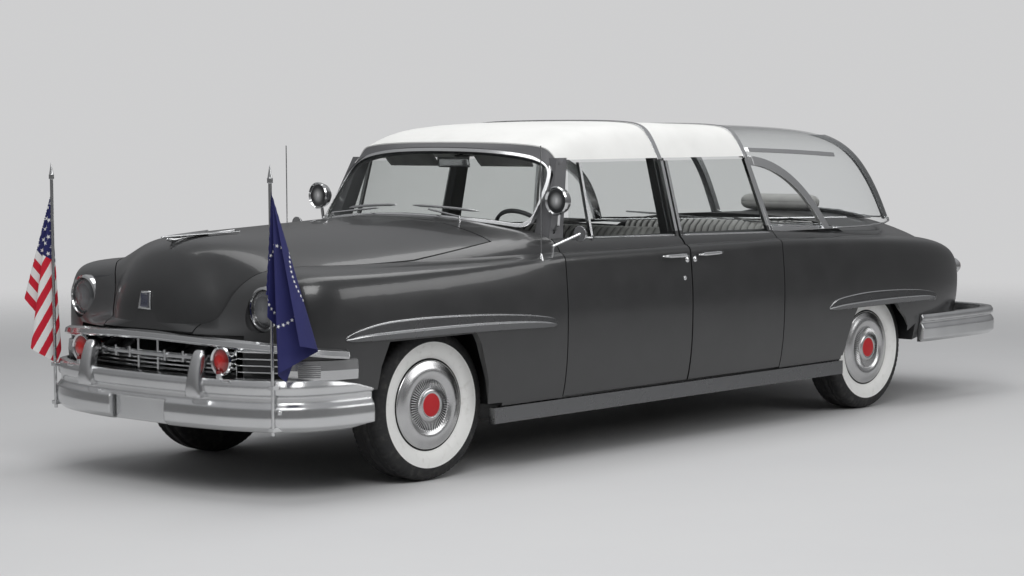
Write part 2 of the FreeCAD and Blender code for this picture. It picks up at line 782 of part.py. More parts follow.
SCREEN_OUTLINE = [(0, 1574), (250, 1573), (470, 1558), (640, 1530), (722, 1492), (752, 1435),
                  (762, 1350), (768, 1270), (772, 1205), (742, 1172), (680, 1181),
                  (560, 1198), (300, 1219), (0, 1226)]
SCREEN_FRAME_WIDTH = 17.0
SCREEN_CENTRE_HEIGHT = 1388.0


def screen_outline(shrink):
    """The windscreen's rounded outline from ahead, pulled in by shrink."""
    narrowing = 1 - shrink / 766
    lowering = 1 - shrink / 184
    half = [Vector(x * narrowing, front_axle,
                   SCREEN_CENTRE_HEIGHT + (z - SCREEN_CENTRE_HEIGHT) * lowering)
            for x, z in SCREEN_OUTLINE]
    right = smooth(half)
    left = smooth([flip(p) for p in half])
    return Part.Face(Part.Wire([right, left])).extrude(Vector(0, 1300, 0))


opening = screen_outline(SCREEN_FRAME_WIDTH)
screen_frame = screen_sheet(-6, 26).common(screen_outline(0)).cut(opening)
screen_frame = screen_frame.cut(tub)
screen_glass = screen_sheet(4, glass).common(opening).cut(tub)

# The header closes the strip between the screen's bright frame and the roof.
HEADER_LIP = [(724, 993, 1458), (716, 1008, 1506), (560, 998, 1549), (300, 949, 1574),
              (100, 925, 1579)]
HEADER_DEPTH = Vector(0, 14, -36)
lip = [near_front(*p) for p in HEADER_LIP]
under_roof = roof_ring(0, 6)
lowered = [[p + HEADER_DEPTH for p in ring] for ring in (lip, under_roof)]
header = thick_skin(across_car([lip, under_roof]), across_car(lowered))
pillar = Part.makeLoft([quad(744, cabin - gap, 850, 955, 1088), quad(690, 752, 1026, 1104, post_top)],
                       True, True)
pillar = pillar.cut([screen_sheet(-8, 30), screen_outline(0).common(screen_sheet(-400, 400))])

# Clear dome: leaning hoops from the rear roof hoop down to the deck.

DOME_X = [874, 872, 868, 858, 842, 812]
DOME_FOOT = [door_rear + 14, 2960, 3300, 3600, 3830, 3960]
DOME_FOOT_DROP = [62, 62, 64, 66, 60, 50]
DOME_CROWN = [2630, 3200, 3620, 3930, 4110, 4215]
DOME_CROWN_DROP = [18, 26, 50, 165, 400, 590]
DOME_ACROSS = [1.0, 0.94, 0.868, 0.824, 0.765, 0.62, 0.31]
DOME_UP = [0.0, 0.34, 0.68, 0.81, 0.935, 0.985, 1.0]


def dome_rows(inset):
    """Control points of the dome's hoops, each from one foot to the other."""
    rows = []
    for i in range(len(DOME_X)):
        foot_z = size("deck_height") - DOME_FOOT_DROP[i]
        crown_z = size("roof_height") - DOME_CROWN_DROP[i] - inset
        crown_back = DOME_CROWN[i] - inset
        half = []
        for across, up in zip(DOME_ACROSS, DOME_UP):
            back = DOME_FOOT[i] + up * (crown_back - DOME_FOOT[i])
            half.append(near_front(across * (DOME_X[i] - inset), back,
                                   foot_z + up * (crown_z - foot_z)))
        rows.append(half + mirror_x(half))
    return rows


def ribbon(points, half, place, direction):
    """A band of constant width along a curve, swept through the body."""
    left, right = [], []
    for i, p in enumerate(points):
        before, after = points[max(i - 1, 0)], points[min(i + 1, len(points) - 1)]
        run = Vector(after[0] - before[0], after[1] - before[1], 0).normalize()
        left.append(place(p[0] - half * run.y, p[1] + half * run.x))
        right.append(place(p[0] + half * run.y, p[1] - half * run.x))
    edges = [smooth(left), Part.makeLine(left[-1], right[-1]),
             smooth(list(reversed(right))), Part.makeLine(right[0], left[0])]
    return Part.Face(Part.Wire(edges)).extrude(direction)


deck_lifted = rear_hull.copy()
deck_lifted.translate(Vector(0, 0, 22))
dome_glass = thick_skin(dome_rows(0), dome_rows(glass)).cut(rear_hull)
dome_band = thick_skin(dome_rows(-9), dome_rows(glass + 8)).cut(rear_hull)
SIDE_ARCH = [(2590, 1490), (2740, 1486), (2900, 1432), (3040, 1345), (3160, 1225),
             (3262, 1050)]
SIDE_RAIL = [(2612, 1548), (2900, 1540), (3200, 1528), (3500, 1510)]
CORNER_POST = [(560, 1620), (602, 1530), (622, 1400), (640, 1250), (650, 1080)]
left_half = box(near_front(300, 2500, 0), near_front(1100, 4500, SKY))
arch = ribbon(SIDE_ARCH, 26, lambda a, z: near_front(300, a, z), Vector(800, 0, 0))
rail = ribbon(SIDE_RAIL, 12, lambda a, z: near_front(300, a, z), Vector(800, 0, 0))
corner = ribbon(CORNER_POST, 15, lambda x, z: near_front(x, 3440, z), Vector(0, 900, 0))
rear_hoop_space = box(near_front(-1000, 2500, 0), near_front(1000, 2632, SKY))
base_strip = dome_band.common(deck_lifted).cut(rear_hoop_space)
bands = merge([dome_band.common(arch), dome_band.common(rail), dome_band.common(corner)])
bands = bands.cut([rear_hoop_space, rear_post])
dome_frame = merge([base_strip, bands, mirrored(bands)]).cut([rear_post, mirrored(rear_post)])
dome_glass = dome_glass.cut([dome_frame, rear_post, mirrored(rear_post)] + hoops)

# Wheels: tyre and pressed wheel with its cap, each one profile turned round
# the axle.

wheel_plane = size("wheel_plane")
tyre_r = size("tyre_radius")
spindle_r = size("spindle_radius")


def turned(profile, centre, axis=Vector(1, 0, 0)):
    """A profile of (along the axis, radius) pairs turned round an axis."""
    up = Vector(0, 0, 1)
    points = [centre + axis * a + up * r for a, r in profile]
    wire = Part.makePolygon(points + [points[0]])
    return Part.Face(wire).revolve(centre, axis, 360)


TYRE = [("-72", "rim_radius"), ("-tyre_width / 2", "0.79 * tyre_radius"),
        ("-0.43 * tyre_width", "0.945 * tyre_radius"), ("-0.32 * tyre_width", "tyre_radius"),
        ("0.32 * tyre_width", "tyre_radius"), ("0.43 * tyre_width", "0.945 * tyre_radius"),
        ("tyre_width / 2", "0.79 * tyre_radius"), ("72", "rim_radius")]
BORE = "spindle_radius + bearing_gap"
RIM_EDGE = "rim_radius - bearing_gap"
WHEEL = [("-hub_depth", BORE), ("-hub_depth", "70"), ("8", "92"), ("8", "165"), ("-66", "196"),
         ("-66", RIM_EDGE), ("78", RIM_EDGE), ("90", "196"), ("82", "168"), ("cap_proud", "66"),
         ("cap_proud", "0"), ("72", "0"), ("72", BORE)]
FACING_LEFT = Rotation(Vector(1, 0, 0), 90)
FACING_RIGHT = Rotation(Vector(0, 0, 1), 180).multiply(FACING_LEFT)

for end in ("front", "rear"):
    for side, sign, turn in (("left", "", FACING_LEFT), ("right", "-", FACING_RIGHT)):
        place = {"x": sign + "sizes.wheel_plane", "y": "sizes.%s_axle" % end,
                 "z": "sizes.tyre_radius"}
        turned_body("tyre_%s_%s" % (end, side), TYRE, turn, **place)
        turned_body("wheel_%s_%s" % (end, side), WHEEL, turn, **place)

# Knuckles: kingpin, stub block and spindle of each front wheel.
pin_x = size("kingpin_offset")
PIN_HALF = 128.0
hub = Vector(pin_x, front_axle, tyre_r)
kingpin = Part.makeCylinder(20, 2 * PIN_HALF, hub - Vector(0, 0, PIN_HALF))
stub = box(hub + Vector(-26, -30, -70), hub + Vector(20, 30, 70))
spindle = Part.makeCylinder(spindle_r, wheel_plane + 70 - pin_x, hub, Vector(1, 0, 0))
knuckle = join([kingpin, stub, spindle])

# Frame, suspension and axle.
RAIL_X = size("rail_spacing") / 2 - size("rail_width") / 2
half_rail = size("rail_width") / 2
RAIL_PATH = [(-985, 455), (-480, 440), (-250, 330), (250, 300), (520, 204), (2950, 204),
             (3230, 480), (4050, 500), (4500, 430), (4960, 430)]
RAIL_PROFILE = [(-half_rail, -34), (half_rail, -34), (half_rail, 34), (-half_rail, 34)]
rail_side = swept([near_front(RAIL_X, a, z) for a, z in RAIL_PATH], RAIL_PROFILE, True)
cross_bars = [box(near_front(-RAIL_X, a, z - 25), near_front(RAIL_X, a + 70, z + 25))
              for a, z in ((-640, 421), (-35, 275), (1200, 204), (2400, 204), (4500, 430))]
suspension_low = box(near_front(RAIL_X, -45, tyre_r - PIN_HALF - 34),
                     near_front(pin_x + 24, 45, tyre_r - PIN_HALF - size("bearing_gap")))
suspension_high = box(near_front(RAIL_X, -40, tyre_r + PIN_HALF + size("bearing_gap")),
                      near_front(pin_x + 24, 40, tyre_r + PIN_HALF + 30))
tower = box(near_front(RAIL_X - 30, -60, 230), near_front(RAIL_X + 30, 60, 530))
side_parts = [rail_side, suspension_low, suspension_high, tower]
frame = join(side_parts + [mirrored(p) for p in side_parts] + cross_bars)

axle_r = size("axle_radius")
axle_centre = Vector(0, rear_axle, tyre_r)
axle_reach = wheel_plane - 75
spindle_reach = wheel_plane + 70
casing = size("differential_radius") - 22
HALF_AXLE = [(30, casing), (90, 0.74 * casing), (120, axle_r), (axle_reach, axle_r),
             (axle_reach, spindle_r), (spindle_reach, spindle_r), (spindle_reach, 0)]
axle_profile = [(-a, r) for a, r in reversed(HALF_AXLE)] + HALF_AXLE
LEAF = [(-470, 440), (-240, 360), (0, 326), (260, 360), (560, 450)]
spring = swept([near_rear(500, a, z) for a, z in LEAF],
               [(-30, -14), (30, -14), (30, 14), (-30, 14)], True)
shackles = [box(near_rear(RAIL_X, a - 22, z), near_rear(524, a + 22, z + 46))
            for a, z in ((-448, 425), (538, 438))]
frame = join([frame] + shackles + [mirrored(s) for s in shackles])
axle = join([turned(axle_profile, axle_centre), spring, mirrored(spring)])

frame = frame.cut(axle)
engine = primitive("Box", "engine", Rotation(), Length="sizes.engine_width",
                   Width="sizes.engine_length", Height="sizes.engine_height",
                   x="-sizes.engine_width / 2", y="sizes.front_axle - 330",
                   z="sizes.engine_bottom")
gearbox = primitive("Cone", "gearbox", Rotation(Vector(0, 0, 1), Vector(0, 1, 0)),
                    Radius1="sizes.gearbox_front_radius", Radius2="sizes.gearbox_rear_radius",
                    Height="sizes.gearbox_length", y="sizes.front_axle + 425",
                    z="sizes.gearbox_height")
engine_block = doc.addObject("Part::MultiFuse", "engine_block")
engine_block.Label = "engine_block"
engine_block.Shapes = [engine, gearbox]
radiator = primitive("Box", "radiator", Rotation(), Length="sizes.radiator_width",
                     Width="sizes.radiator_depth", Height="sizes.radiator_height",
                     x="-sizes.radiator_width / 2", z="sizes.radiator_bottom",
                     y="sizes.front_axle - sizes.radiator_lead")
pieces.extend([engine_block, radiator])
doc.recompute()

tunnel = Part.makeCylinder(235, 480, near_front(0, bonnet_rear, 420), Vector(0, 1, 0))
tunnel = tunnel.common(box(near_front(-300, 0, floor_top - 5), near_front(300, 1100, SKY)))
tub = join([tub, tunnel])
tub = tub.cut([frame, box(near_rear(-600, -160, 0), near_rear(600, 160, 512)),
               Part.makeCylinder(212, 460, near_front(0, 500, 420), Vector(0, 1, 0)),
               box(near_rear(455, -480, 0), near_rear(545, 600, 490)),
               box(near_rear(-545, -480, 0), near_rear(-455, 600, 490))])
wings = wings.cut([frame])

# Bumpers: a grooved blade bent round each end of the car.
FRONT_BLADE = [(0, -120), (24, -120), (50, -95), (52, -55), (48, -12), (34, 6),
               (30, 12), (30, 40), (44, 50), (46, 84), (36, 112), (0, 120)]
FRONT_BUMPER = [(0, 0), (220, 0), (480, 26), (700, 84), (850, 176), (905, 320), (918, 440), (925, 560)]
REAR_BLADE = [(0, -82), (28, -82), (50, -62), (52, 0), (40, 22), (34, 28), (34, 38),
              (46, 46), (46, 66), (36, 83), (0, 83)]
REAR_BUMPER = [(0, 0), (250, 0), (560, -14), (800, -62), (915, -190), (925, -380),
               (930, -600), (930, -820), (925, -1030)]


def bent_bar(half_path, profile, front):
    """A bar bent round the front or the rear, from one tip to the other."""
    path = [flip(p) for p in reversed(half_path[1:])] + half_path
    path = even(path, 2 * len(path) - 1)
    if front:
        path = list(reversed(path))
        profile = [(-u, v) for u, v in profile]
        return swept(path, profile)
    return swept(list(reversed(path)), profile)


bumper_face = -size("front_overhang") + 52
front_path = [near_front(x, bumper_face + a, 440) for x, a in FRONT_BUMPER]
plate_notch = box(near_front(-205, -1200, 300), near_front(205, bumper_face + 8, 436))
number_plate = box(near_front(-190, bumper_face - 14, 322), near_front(190, bumper_face + 2, 446))
GUARD_X = 403.0
GUARD_LEVELS = [(466, 50, -1084, -1038), (505, 47, -1087, -1030), (550, 41, -1083, -1020),
                (600, 37, -1072, -1010), (645, 35, -1057, -1003), (668, 30, -1045, -1006),
                (678, 16, -1035, -1016)]


def ring_wire(points):
    """A closed smooth curve pulled along by a ring of control points."""
    curve = Part.BSplineCurve()
    curve.buildFromPoles(points, True, 3)
    return Part.Wire(curve.toShape())


def horn(centre_x, levels):
    """An upright that leans and thins as it rises: at each height it has a
    half width, a front and a back."""
    wires = []
    for z, half, front, back in levels:
        middle = (front + back) / 2
        plan = [(half, middle), (half, front), (0, front), (-half, front),
                (-half, middle), (-half, back), (0, back), (half, back)]
        wires.append(ring_wire([near_front(centre_x + u, a, z) for u, a in plan]))
    return Part.makeLoft(wires, True)


guard = horn(GUARD_X, GUARD_LEVELS)
front_bracket = box(near_front(360, bumper_face - 2, 425), near_front(430, -985, 485))
TIP_TOP = [(-880, 575), (-880, 562), (-700, 552), (-560, 522), (-440, 486), (-440, 600)]
TIP_FOOT = [(-880, 300), (-880, 319), (-600, 322), (-440, 350), (-440, 300)]
tips = [prism([near_front(-1100, a, z) for a, z in tip], Vector(2200, 0, 0))
        for tip in (TIP_TOP, TIP_FOOT)]
front_blade = bent_bar(front_path, FRONT_BLADE, True).cut([plate_notch, wings] + tips)
front_bumper = merge([front_blade, number_plate, guard, mirrored(guard), front_bracket,
                      mirrored(front_bracket)])
wings = wings.cut(front_bumper)
rear_face = size("rear_overhang") - 52
rear_path = [near_rear(x, rear_face + a, 452) for x, a in REAR_BUMPER]
rear_bracket = box(near_front(360, 4960, 400), near_front(430, wheelbase + rear_face + 6, 460))
rear_bumper = merge([bent_bar(rear_path, REAR_BLADE, False), rear_bracket,
                     mirrored(rear_bracket)]).cut(tub)

# Grille: a heavy top bar, a middle bar crossed by hooked ribs, and thin bars.
TOP_BAR = [(0, -1006, 728), (160, -1004, 726), (380, -990, 720), (590, -945, 708),
           (750, -880, 698), (870, -800, 685), (928, -715, 672), (948, -630, 664)]
TOP_BAR_PROFILE = [(0, -20), (34, -22), (42, -12), (36, 10), (16, 20), (0, 20)]
MIDDLE_BAR = [(0, -990, 634), (190, -988, 634), (380, -970, 634), (540, -935, 634)]
THIN_BAR = [(0, -950, 0), (200, -948, 0), (390, -934, 0), (574, -905, 0)]
ROUND_BAR = [(0, -14), (14, -16), (24, -6), (24, 6), (14, 16), (0, 14)]
THIN_PROFILE = [(0, -4), (10, -4), (10, 4), (0, 4)]
RIB_OUTLINE = [(-900, 716), (-978, 676), (-1016, 660), (-1016, 610), (-1000, 606),
               (-1000, 644), (-975, 652), (-900, 686)]
RIB_PLACES = [130, 250, 370, 490]
top_bar = bent_bar([near_front(*p) for p in TOP_BAR], TOP_BAR_PROFILE, True)
middle_bar = bent_bar([near_front(*p) for p in MIDDLE_BAR], ROUND_BAR, True)
grille = [top_bar, middle_bar]
for z in (566, 586, 606):
    grille.append(bent_bar([near_front(x, a, z) for x, a, _ in THIN_BAR], THIN_PROFILE, True))
for x in RIB_PLACES:
    for way in (1, -1):
        outline = [near_front(way * x - 7, a + 0.09 * abs(x) - 10, z) for a, z in RIB_OUTLINE]
        grille.append(prism(outline, Vector(14, 0, 0)))
for x, front in ((-578, -960), (-79, -1008), (65, -1008), (564, -960)):
    grille.append(box(near_front(x, front, 548), near_front(x + 14, -850, 718)))
pan = box(near_front(-600, -1030, 540), near_front(600, -850, 548))
grille_whole = merge(grille + [pan]).cut([wings, front_bumper])

# Lamps.
ahead = Vector(0, -1, 0)
HEADLAMP_PROFILE = [(-60, 0), (-60, HEADLAMP_RADIUS - 0.3), (-6, HEADLAMP_RADIUS - 0.3),
                    (12, 101), (16, 91), (4, 85), (16, 60), (22, 0)]
headlamp = turned(HEADLAMP_PROFILE, HEADLAMP, ahead)
SIREN_PROFILE = [(-110, 0), (-110, 26), (-70, 55), (0, 65), (14, 68), (24, 65), (18, 58),
                 (30, 30), (34, 0)]
SIREN = near_front(520, -985, 630)
siren_foot = Part.makeCylinder(16, 40, near_front(520, -1012, 548))
siren = merge([turned(SIREN_PROFILE, SIREN, ahead), siren_foot]).cut([grille_whole, front_bumper])
SIDE_LAMP = [(800, -838), (868, -792), (915, -735), (940, -660), (953, -580)]
LENS_PROFILE = [(0, -48), (26, -44), (30, 0), (26, 44), (0, 48)]
side_lamp = swept(even([near_front(x, a, 594) for x, a in SIDE_LAMP], 9), LENS_PROFILE)
side_lamp = side_lamp.cut([wings, grille_whole, front_bumper])
TAIL_PROFILE = [(-120, 0), (-120, 52), (20, 52), (48, 40), (58, 0)]
tail_lamp = turned(TAIL_PROFILE, near_rear(730, 1130, 790), Vector(0, 1, 0)).cut(rear_hull)

# Bright mouldings: brows over the wheels and the strips along the sills.
BROW = [(0, -40), (18, -36), (26, -16), (18, -8), (22, 4), (28, 16), (20, 34), (0, 40)]
FRONT_BROW = [(925, -655, 690), (956, -480, 722), (966, -200, 744), (970, 200, 746),
              (970, 560, 736), (965, 775, 726)]
REAR_BROW = [(965, -560, 628), (969, -300, 652), (966, 0, 662), (960, 300, 660), (938, 600, 640)]
brow = [(-u, v) for u, v in BROW]
front_brow = swept(even([near_front(*p) for p in reversed(FRONT_BROW)], 9), brow)
rear_brow = swept(even([near_rear(*p) for p in reversed(REAR_BROW)], 9), brow)
strip = box(near_front(905, 352, sill_bottom), near_front(946, wheelbase - 384, sill_top - 6))
front_brow = front_brow.cut([front_hull, grille_whole, side_lamp])
rear_brow = rear_brow.cut([rear_hull])
mouldings = [front_brow, rear_brow, strip]
mouldings = Part.makeCompound(mouldings + [mirrored(m) for m in mouldings])

# Bonnet ornament: a keel with two swept blades, free of the bonnet's skin.
KEEL = [(-948, 1112), (-928, 1166), (-880, 1184), (-460, 1206), (-440, 1192), (-600, 1160),
        (-880, 1100)]
BLADE = [(0, -925), (0, -700), (112, -520), (124, -540), (118, -570)]
BLADE_SLOPE = 0.06
keel = prism([near_front(-7, a, z) for a, z in KEEL], Vector(14, 0, 0))
blade_plan = [near_front(x, a, 1172 + BLADE_SLOPE * (a + 915)) for x, a in BLADE]
blade = prism(blade_plan, Vector(0, 0, 8))
ornament = merge([keel, blade, mirrored(blade)]).cut(bonnet)
ornament = max(ornament.Solids, key=lambda solid: solid.Volume)

# Seats, dashboard and steering wheel.
seat_lift = floor_top
FRONT_SEAT = [(1400, 0), (1400, 620), (1880, 580), (1975, 1135), (2090, 1135), (2070, 0)]
REAR_SEAT = [(2760, 0), (2760, 620), (3180, 580), (3290, 1125), (3400, 1125), (3400, 552),
             (3190, 552), (2870, 0)]


def bench(outline, half):
    points = [near_front(-half, a, max(z, seat_lift)) for a, z in outline]
    return prism(points, Vector(2 * half, 0, 0))


front_seat = bench(FRONT_SEAT, 680)
rear_seat = bench(REAR_SEAT, 700).cut([wheelhouse, mirrored(wheelhouse)])
DASH = [(620, 1059.7), (800, 1059.7), (980, 1085), (1030, 1060), (1020, 970), (970, 800),
        (900, 790), (860, 900), (620, 980)]
dash = prism([near_front(-720, a, z) for a, z in DASH], Vector(1440, 0, 0))
WHEEL_CENTRE = near_front(370, 1240, 1085)
COLUMN_AXIS = Vector(0, 0.77, 0.64).normalize()
column = rod(WHEEL_CENTRE - COLUMN_AXIS * 320, WHEEL_CENTRE - COLUMN_AXIS * 30, 24, 12)
dash = join([dash, column])
wheel_r = size("steering_wheel_radius")
across = Vector(1, 0, 0)
upward = across.cross(COLUMN_AXIS)
RIM = [(8, -9), (12, 0), (8, 9), (-8, 9), (-12, 0), (-8, -9)]
rim_points = [WHEEL_CENTRE + COLUMN_AXIS * a + upward * (wheel_r - 9 + r) for a, r in RIM]
rim_face = Part.Face(Part.makePolygon(rim_points + [rim_points[0]]))
rim = rim_face.revolve(WHEEL_CENTRE, COLUMN_AXIS, 360)
boss = rod(WHEEL_CENTRE - COLUMN_AXIS * 29.7, WHEEL_CENTRE + COLUMN_AXIS * 26, 32, 16)
spoke = rod(WHEEL_CENTRE - across * (wheel_r - 9), WHEEL_CENTRE + across * (wheel_r - 9), 8, 6)
steering_wheel = merge([rim, boss, spoke])

# Outside fittings.
SPOT_PROFILE = [(-70, 0), (-64, 30), (-30, 62), (0, 72), (14, 74), (20, 68), (10, 62), (18, 0)]
SPOT = near_front(880, 890, 1310)
spot_stem = tube([near_front(880, 900, 1280), near_front(868, 905, 1190), near_front(835, 905, 1150)], 9)
spot = merge([turned(SPOT_PROFILE, SPOT, ahead), spot_stem]).cut([pillar, tub, front_door])
MIRROR_PROFILE = [(-30, 0), (-24, 20), (-6, 37), (6, 40), (6, 0)]
MIRROR = near_front(1045, 872, 1150)
mirror_stalk = tube([near_front(938, 774, 1000), near_front(945, 780, 1090), MIRROR - ahead * -4], 7)
mirror = merge([turned(MIRROR_PROFILE, MIRROR, ahead), mirror_stalk]).cut(front_hull)
aerial = merge([rod(near_front(938, 700, 1020), near_front(938, 700, 1588), 3, 6),
                Part.makeCone(16, 6, 40, near_front(938, 700, 1015))]).cut(front_hull)
STAFF = near_front(810, -949, 310)
STAFF_TOP = STAFF + Vector(0, 0, 1150)
staff = merge([rod(STAFF, STAFF_TOP, 8), rod(STAFF_TOP - Vector(0, 0, 22), STAFF_TOP, 13),
               Part.makeCone(11, 1, 60, STAFF_TOP)])
clips = [box(STAFF + Vector(-16, -12, z), STAFF + Vector(16, 40, z + 18)) for z in (18, 206)]
staff = merge([staff] + clips).cut([front_bumper])
FLAG_LEFT = [(818.4, 1395), (900, 1160), (1000, 930), (1078, 735), (920, 600), (835, 680)]
FLAG_RIGHT = [(818.4, 1380), (862, 1300), (930, 1050), (1000, 840), (955, 700), (870, 600),
              (822, 580)]
flag_left = prism([near_front(x, -960, z) for x, z in FLAG_LEFT], Vector(0, 24, 0))
flag_right = prism([near_front(-x, -960, z) for x, z in FLAG_RIGHT], Vector(0, 24, 0))
wiper = tube([near_front(477, 600, 1190), near_front(470, 606, 1232), near_front(190, 668, 1262)], 5)
wiper = wiper.cut([tub, bonnet, screen_frame, screen_glass])
roll = primitive("Cylinder", "shelf_roll", Rotation(Vector(0, 0, 1), Vector(1, 0, 0)),
                 Radius="sizes.shelf_roll_radius", Height="sizes.shelf_roll_length",
                 x="-sizes.shelf_roll_length / 2", y="sizes.front_axle + 3980",
                 z="sizes.deck_height + sizes.shelf_roll_radius + 4")
pieces.append(roll)
EXHAUST = [(250, 426, 330), (250, 560, 200), (250, 2900, 200), (250, 3240, 262),
           (250, 4300, 300), (250, 5010, 330)]
exhaust = tube([near_front(*p) for p in EXHAUST], 25)
silencer = rod(near_front(250, 1500, 200), near_front(250, 2300, 200), 36, 12)
exhaust = merge([exhaust, silencer])
frame = frame.cut(exhaust)
tub = tub.cut(exhaust)
exhaust = exhaust.cut([engine.Shape, gearbox.Shape])

surround = merge([header, pillar, mirrored(pillar)]).cut([screen_frame, screen_glass, roof, tub] + hoops)
posts = [rear_post.cut(hoops), mirrored(rear_post.cut(hoops))]
keep("body_tub", tub)
keep("front_wings", wings)
keep("bonnet", bonnet)
keep("bonnet_ornament", ornament)
keep("boot_lid", boot_lid)
for side, shape in (("left", lambda a: a), ("right", mirrored)):
    keep("front_door_" + side, shape(front_door))
    keep("rear_door_" + side, shape(rear_door))
    keep("front_glass_" + side, shape(front_pane))
    keep("rear_glass_" + side, shape(rear_pane))
    keep("knuckle_" + side, shape(knuckle))
keep("roof_panels", roof)
keep("roof_hoops", Part.makeCompound(hoops + posts))
keep("windscreen_frame", screen_frame)
keep("windscreen_glass", screen_glass)
keep("windscreen_surround", surround)
keep("dome_frame", dome_frame)
keep("dome_glass", dome_glass)
keep("chassis_frame", frame)
keep("rear_axle", axle)
keep("exhaust", exhaust)
keep("front_bumper", front_bumper)
keep("rear_bumper", rear_bumper)
keep("grille", grille_whole)
keep("headlamps", pair(headlamp))
keep("siren_lamps", pair(siren))
keep("side_lamps", pair(side_lamp))
keep("tail_lamps", pair(tail_lamp))
keep("bright_mouldings", mouldings)
keep("front_seat", front_seat)
keep("rear_seat", rear_seat)
keep("dashboard", dash)
keep("steering_wheel", steering_wheel)
keep("spotlights", pair(spot))
keep("mirrors", pair(mirror))
keep("aerials", pair(aerial))
keep("flag_staffs", pair(staff))
keep("flag_left", flag_left)
keep("flag_right", flag_right)
keep("wipers", pair(wiper))
whole = Part.makeCompound([p.Shape for p in pieces]).BoundBox
print("box", [round(v, 2) for v in (whole.XMin, whole.XMax, whole.YMin, whole.YMax, whole.ZMin, whole.ZMax)])

doc.recompute()
for piece in doc.Objects:
    if "Invalid" in piece.State or "Error" in piece.State:
        raise RuntimeError(piece.Label + " did not compute")
for piece in pieces:
    if piece.Shape.isNull() or not piece.Shape.isValid():
        raise RuntimeError(piece.Label + " has no valid shape")
os.makedirs("parts", exist_ok=True)
for piece in pieces:
    piece.Shape.exportStep("parts/%s.step" % piece.Label)
    print(piece.Label, len(piece.Shape.Solids), round(piece.Shape.Volume / 1e9, 5))
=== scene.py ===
# %% [markdown]
# # A parade limousine, dressed over its packed model
# The solids of the car come in first and stay where they are. Every finish and every added
# piece below is placed by reading those solids, so that nothing has to be fitted by eye.

# %% Load the frame
import bisect
import json
import math

import bmesh
import bpy
from mathutils import Matrix, Vector


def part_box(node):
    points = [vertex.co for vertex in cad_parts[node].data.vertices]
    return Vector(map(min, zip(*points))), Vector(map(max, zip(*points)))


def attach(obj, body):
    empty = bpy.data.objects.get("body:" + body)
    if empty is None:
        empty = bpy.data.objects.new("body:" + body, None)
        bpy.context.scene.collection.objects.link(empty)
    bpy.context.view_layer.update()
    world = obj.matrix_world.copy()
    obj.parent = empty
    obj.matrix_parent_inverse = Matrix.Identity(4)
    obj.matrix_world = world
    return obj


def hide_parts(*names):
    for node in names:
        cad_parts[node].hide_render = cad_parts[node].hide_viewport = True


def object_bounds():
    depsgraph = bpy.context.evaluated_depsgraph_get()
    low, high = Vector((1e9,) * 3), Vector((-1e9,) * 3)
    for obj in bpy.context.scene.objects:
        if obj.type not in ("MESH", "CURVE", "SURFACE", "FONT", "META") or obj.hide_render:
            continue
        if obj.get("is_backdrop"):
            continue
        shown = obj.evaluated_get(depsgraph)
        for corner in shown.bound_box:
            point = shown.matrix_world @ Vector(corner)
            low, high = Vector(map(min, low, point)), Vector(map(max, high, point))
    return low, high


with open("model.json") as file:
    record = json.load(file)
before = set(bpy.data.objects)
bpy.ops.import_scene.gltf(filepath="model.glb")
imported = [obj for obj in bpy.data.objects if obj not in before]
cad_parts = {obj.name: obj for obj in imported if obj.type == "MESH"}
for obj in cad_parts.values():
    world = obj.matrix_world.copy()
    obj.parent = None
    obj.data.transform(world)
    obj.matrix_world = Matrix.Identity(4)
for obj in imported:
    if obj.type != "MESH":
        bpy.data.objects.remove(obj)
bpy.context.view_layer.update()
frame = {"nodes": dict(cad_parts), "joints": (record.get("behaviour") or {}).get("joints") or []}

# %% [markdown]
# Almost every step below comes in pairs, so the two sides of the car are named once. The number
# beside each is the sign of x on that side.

nodes = frame["nodes"]
SIDES = (("left", 1), ("right", -1))

# %% [markdown]
# ## Reading the car's own lines
# Wheels, lamps and mouldings all hang on a few lines of the car: the two axles, the middle of
# each wheel and the belt under the windows. Reading them from the joints and the boxes of the
# solids keeps every later piece in step with them.

# %% The car's own lines
joint = {j["name"]: j for j in frame["joints"]}
front_y = joint["spin_front_left"]["pos_m"][1]
rear_y = joint["spin_rear_left"]["pos_m"][1]
hub_x = joint["spin_front_left"]["pos_m"][0]
hub_z = joint["spin_front_left"]["pos_m"][2]
tyre_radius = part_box("tyre_front_left")[1].z - hub_z
BELT = 1.122
AXLES = (("front", front_y), ("rear", rear_y))
CORNERS = [(end, side, way, Vector((way * hub_x, axle_y, hub_z)))
           for end, axle_y in AXLES for side, way in SIDES]
print("axles", round(front_y, 3), round(rear_y, 3), "tyre radius", round(tyre_radius, 3))

# %% [markdown]
# ## Shader maths as plain expressions
# A finish is mostly arithmetic on positions: how far a point lies from the axle, how high it
# is, how noisy the surface should be there. Wrapping a socket in a small class lets that
# arithmetic be written as arithmetic, and each operator adds its own Math node.

# %% A socket that can be added, multiplied and compared


